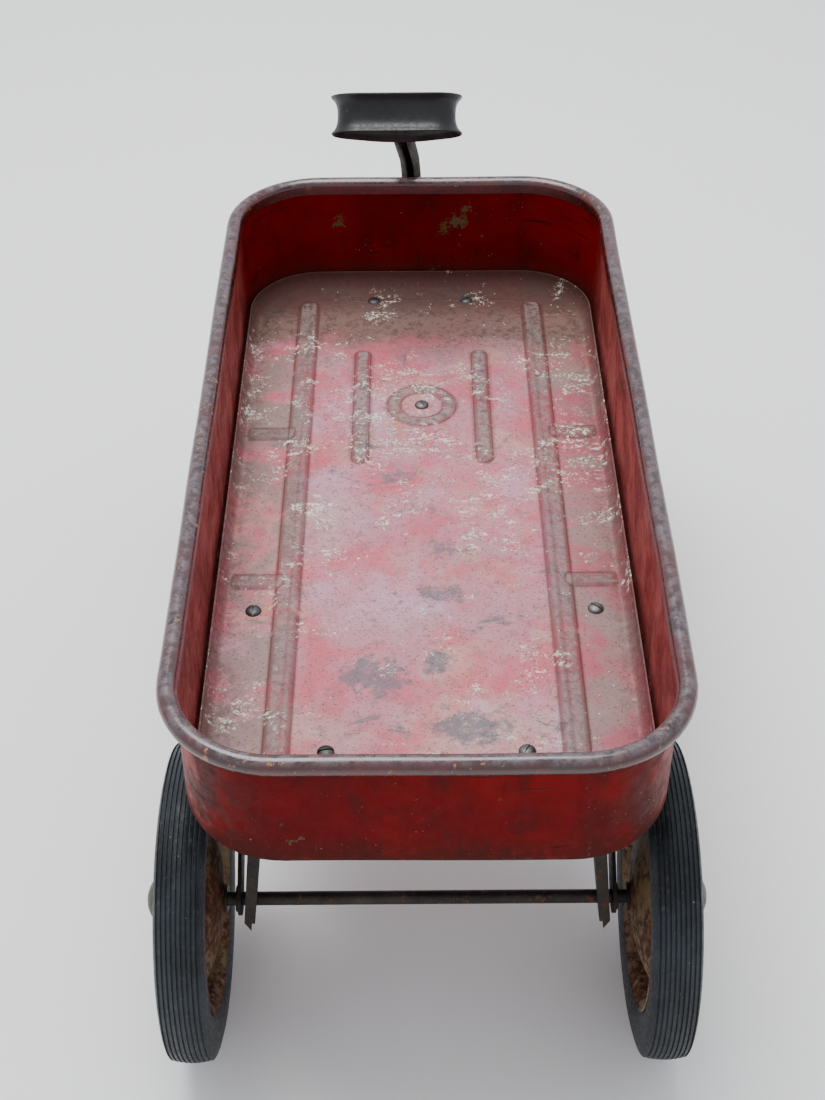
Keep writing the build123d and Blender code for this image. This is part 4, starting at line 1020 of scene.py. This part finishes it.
# %% Finishes for the frame's parts
FINISH_OF = {
    "dark_steel": FRAME_STEEL, "axle_steel": AXLE_STEEL, "fastener_steel": BOLT_STEEL,
    "tongue_steel": TONGUE_STEEL, "grip_steel": GRIP_STEEL, "red_enamel": RED_ENAMEL,
    "floor_enamel": FLOOR_ENAMEL, "tyre_rubber": RUBBER, "wheel_enamel": WHEEL_PAINT, "cap_metal": CAP_PAINT,
}
slot_of = {row["node"]: row["material_slot"] for row in frame["record"]["subparts"]}
for name, node in frame["nodes"].items():
    node.data.materials.clear()
    node.data.materials.append(FINISH_OF[slot_of[name]])
print(len(slot_of), "frame parts finished")

# %% [markdown]
# ## Studio
# A pale floor that runs out of sight, one big soft light overhead and a pale sky give the even, shadowless
# light in which old paint shows its colours. The camera stands behind the wagon at a grown-up's eye height,
# looking down into the tub.

# %% Floor and light
let_go()
bpy.ops.mesh.primitive_plane_add(size=30, location=(0, 0, 0))
ground = bpy.context.object
ground.name = "studio_floor"
ground_finish = Finish("studio floor")
ground_shade = ground_finish.over(paint(252, 252, 252), paint(249, 249, 249), ground_finish.grain(3, 2))
ground.data.materials.append(ground_finish.done(ground_shade, 0.9))

world = bpy.data.worlds.new("studio sky")
bpy.context.scene.world = world
world.use_nodes = True
sky = world.node_tree.nodes["Background"]
sky.inputs["Color"].default_value = (0.93, 0.96, 1.0, 1)
sky.inputs["Strength"].default_value = 0.95


def softbox(name, place, aim, size, power, colour=(1, 1, 1)):
    """A square area light turned towards a point."""
    lamp = bpy.data.lights.new(name, "AREA")
    lamp.size = size
    lamp.energy = power
    lamp.color = colour
    holder = bpy.data.objects.new(name, lamp)
    bpy.context.scene.collection.objects.link(holder)
    holder.location = place
    holder.rotation_euler = (Vector(aim) - Vector(place)).to_track_quat("-Z", "Y").to_euler()


softbox("overhead", (-0.4, 0.6, 3.0), (0, 0, 0.3), 1.8, 95)

# %% Camera
LENS = 56.3
PITCH = math.radians(40.35)
YAW = math.radians(-0.063)
ROLL = math.radians(-0.46)
EYE = Vector((-0.00849, RIM_REAR - 0.77741, 1.23795))
look = Vector((math.sin(YAW) * math.cos(PITCH), math.cos(YAW) * math.cos(PITCH), -math.sin(PITCH)))
level = look.cross(Vector((0, 0, 1))).normalized()
above = level.cross(look)
right_way = level * math.cos(ROLL) + above * math.sin(ROLL)
up_way = above * math.cos(ROLL) - level * math.sin(ROLL)
camera_data = bpy.data.cameras.new("camera")
camera_data.lens = LENS
camera = bpy.data.objects.new("camera", camera_data)
bpy.context.scene.collection.objects.link(camera)
camera.matrix_world = Matrix.Translation(EYE) @ Matrix((right_way, up_way, -look)).transposed().to_4x4()
bpy.context.scene.camera = camera
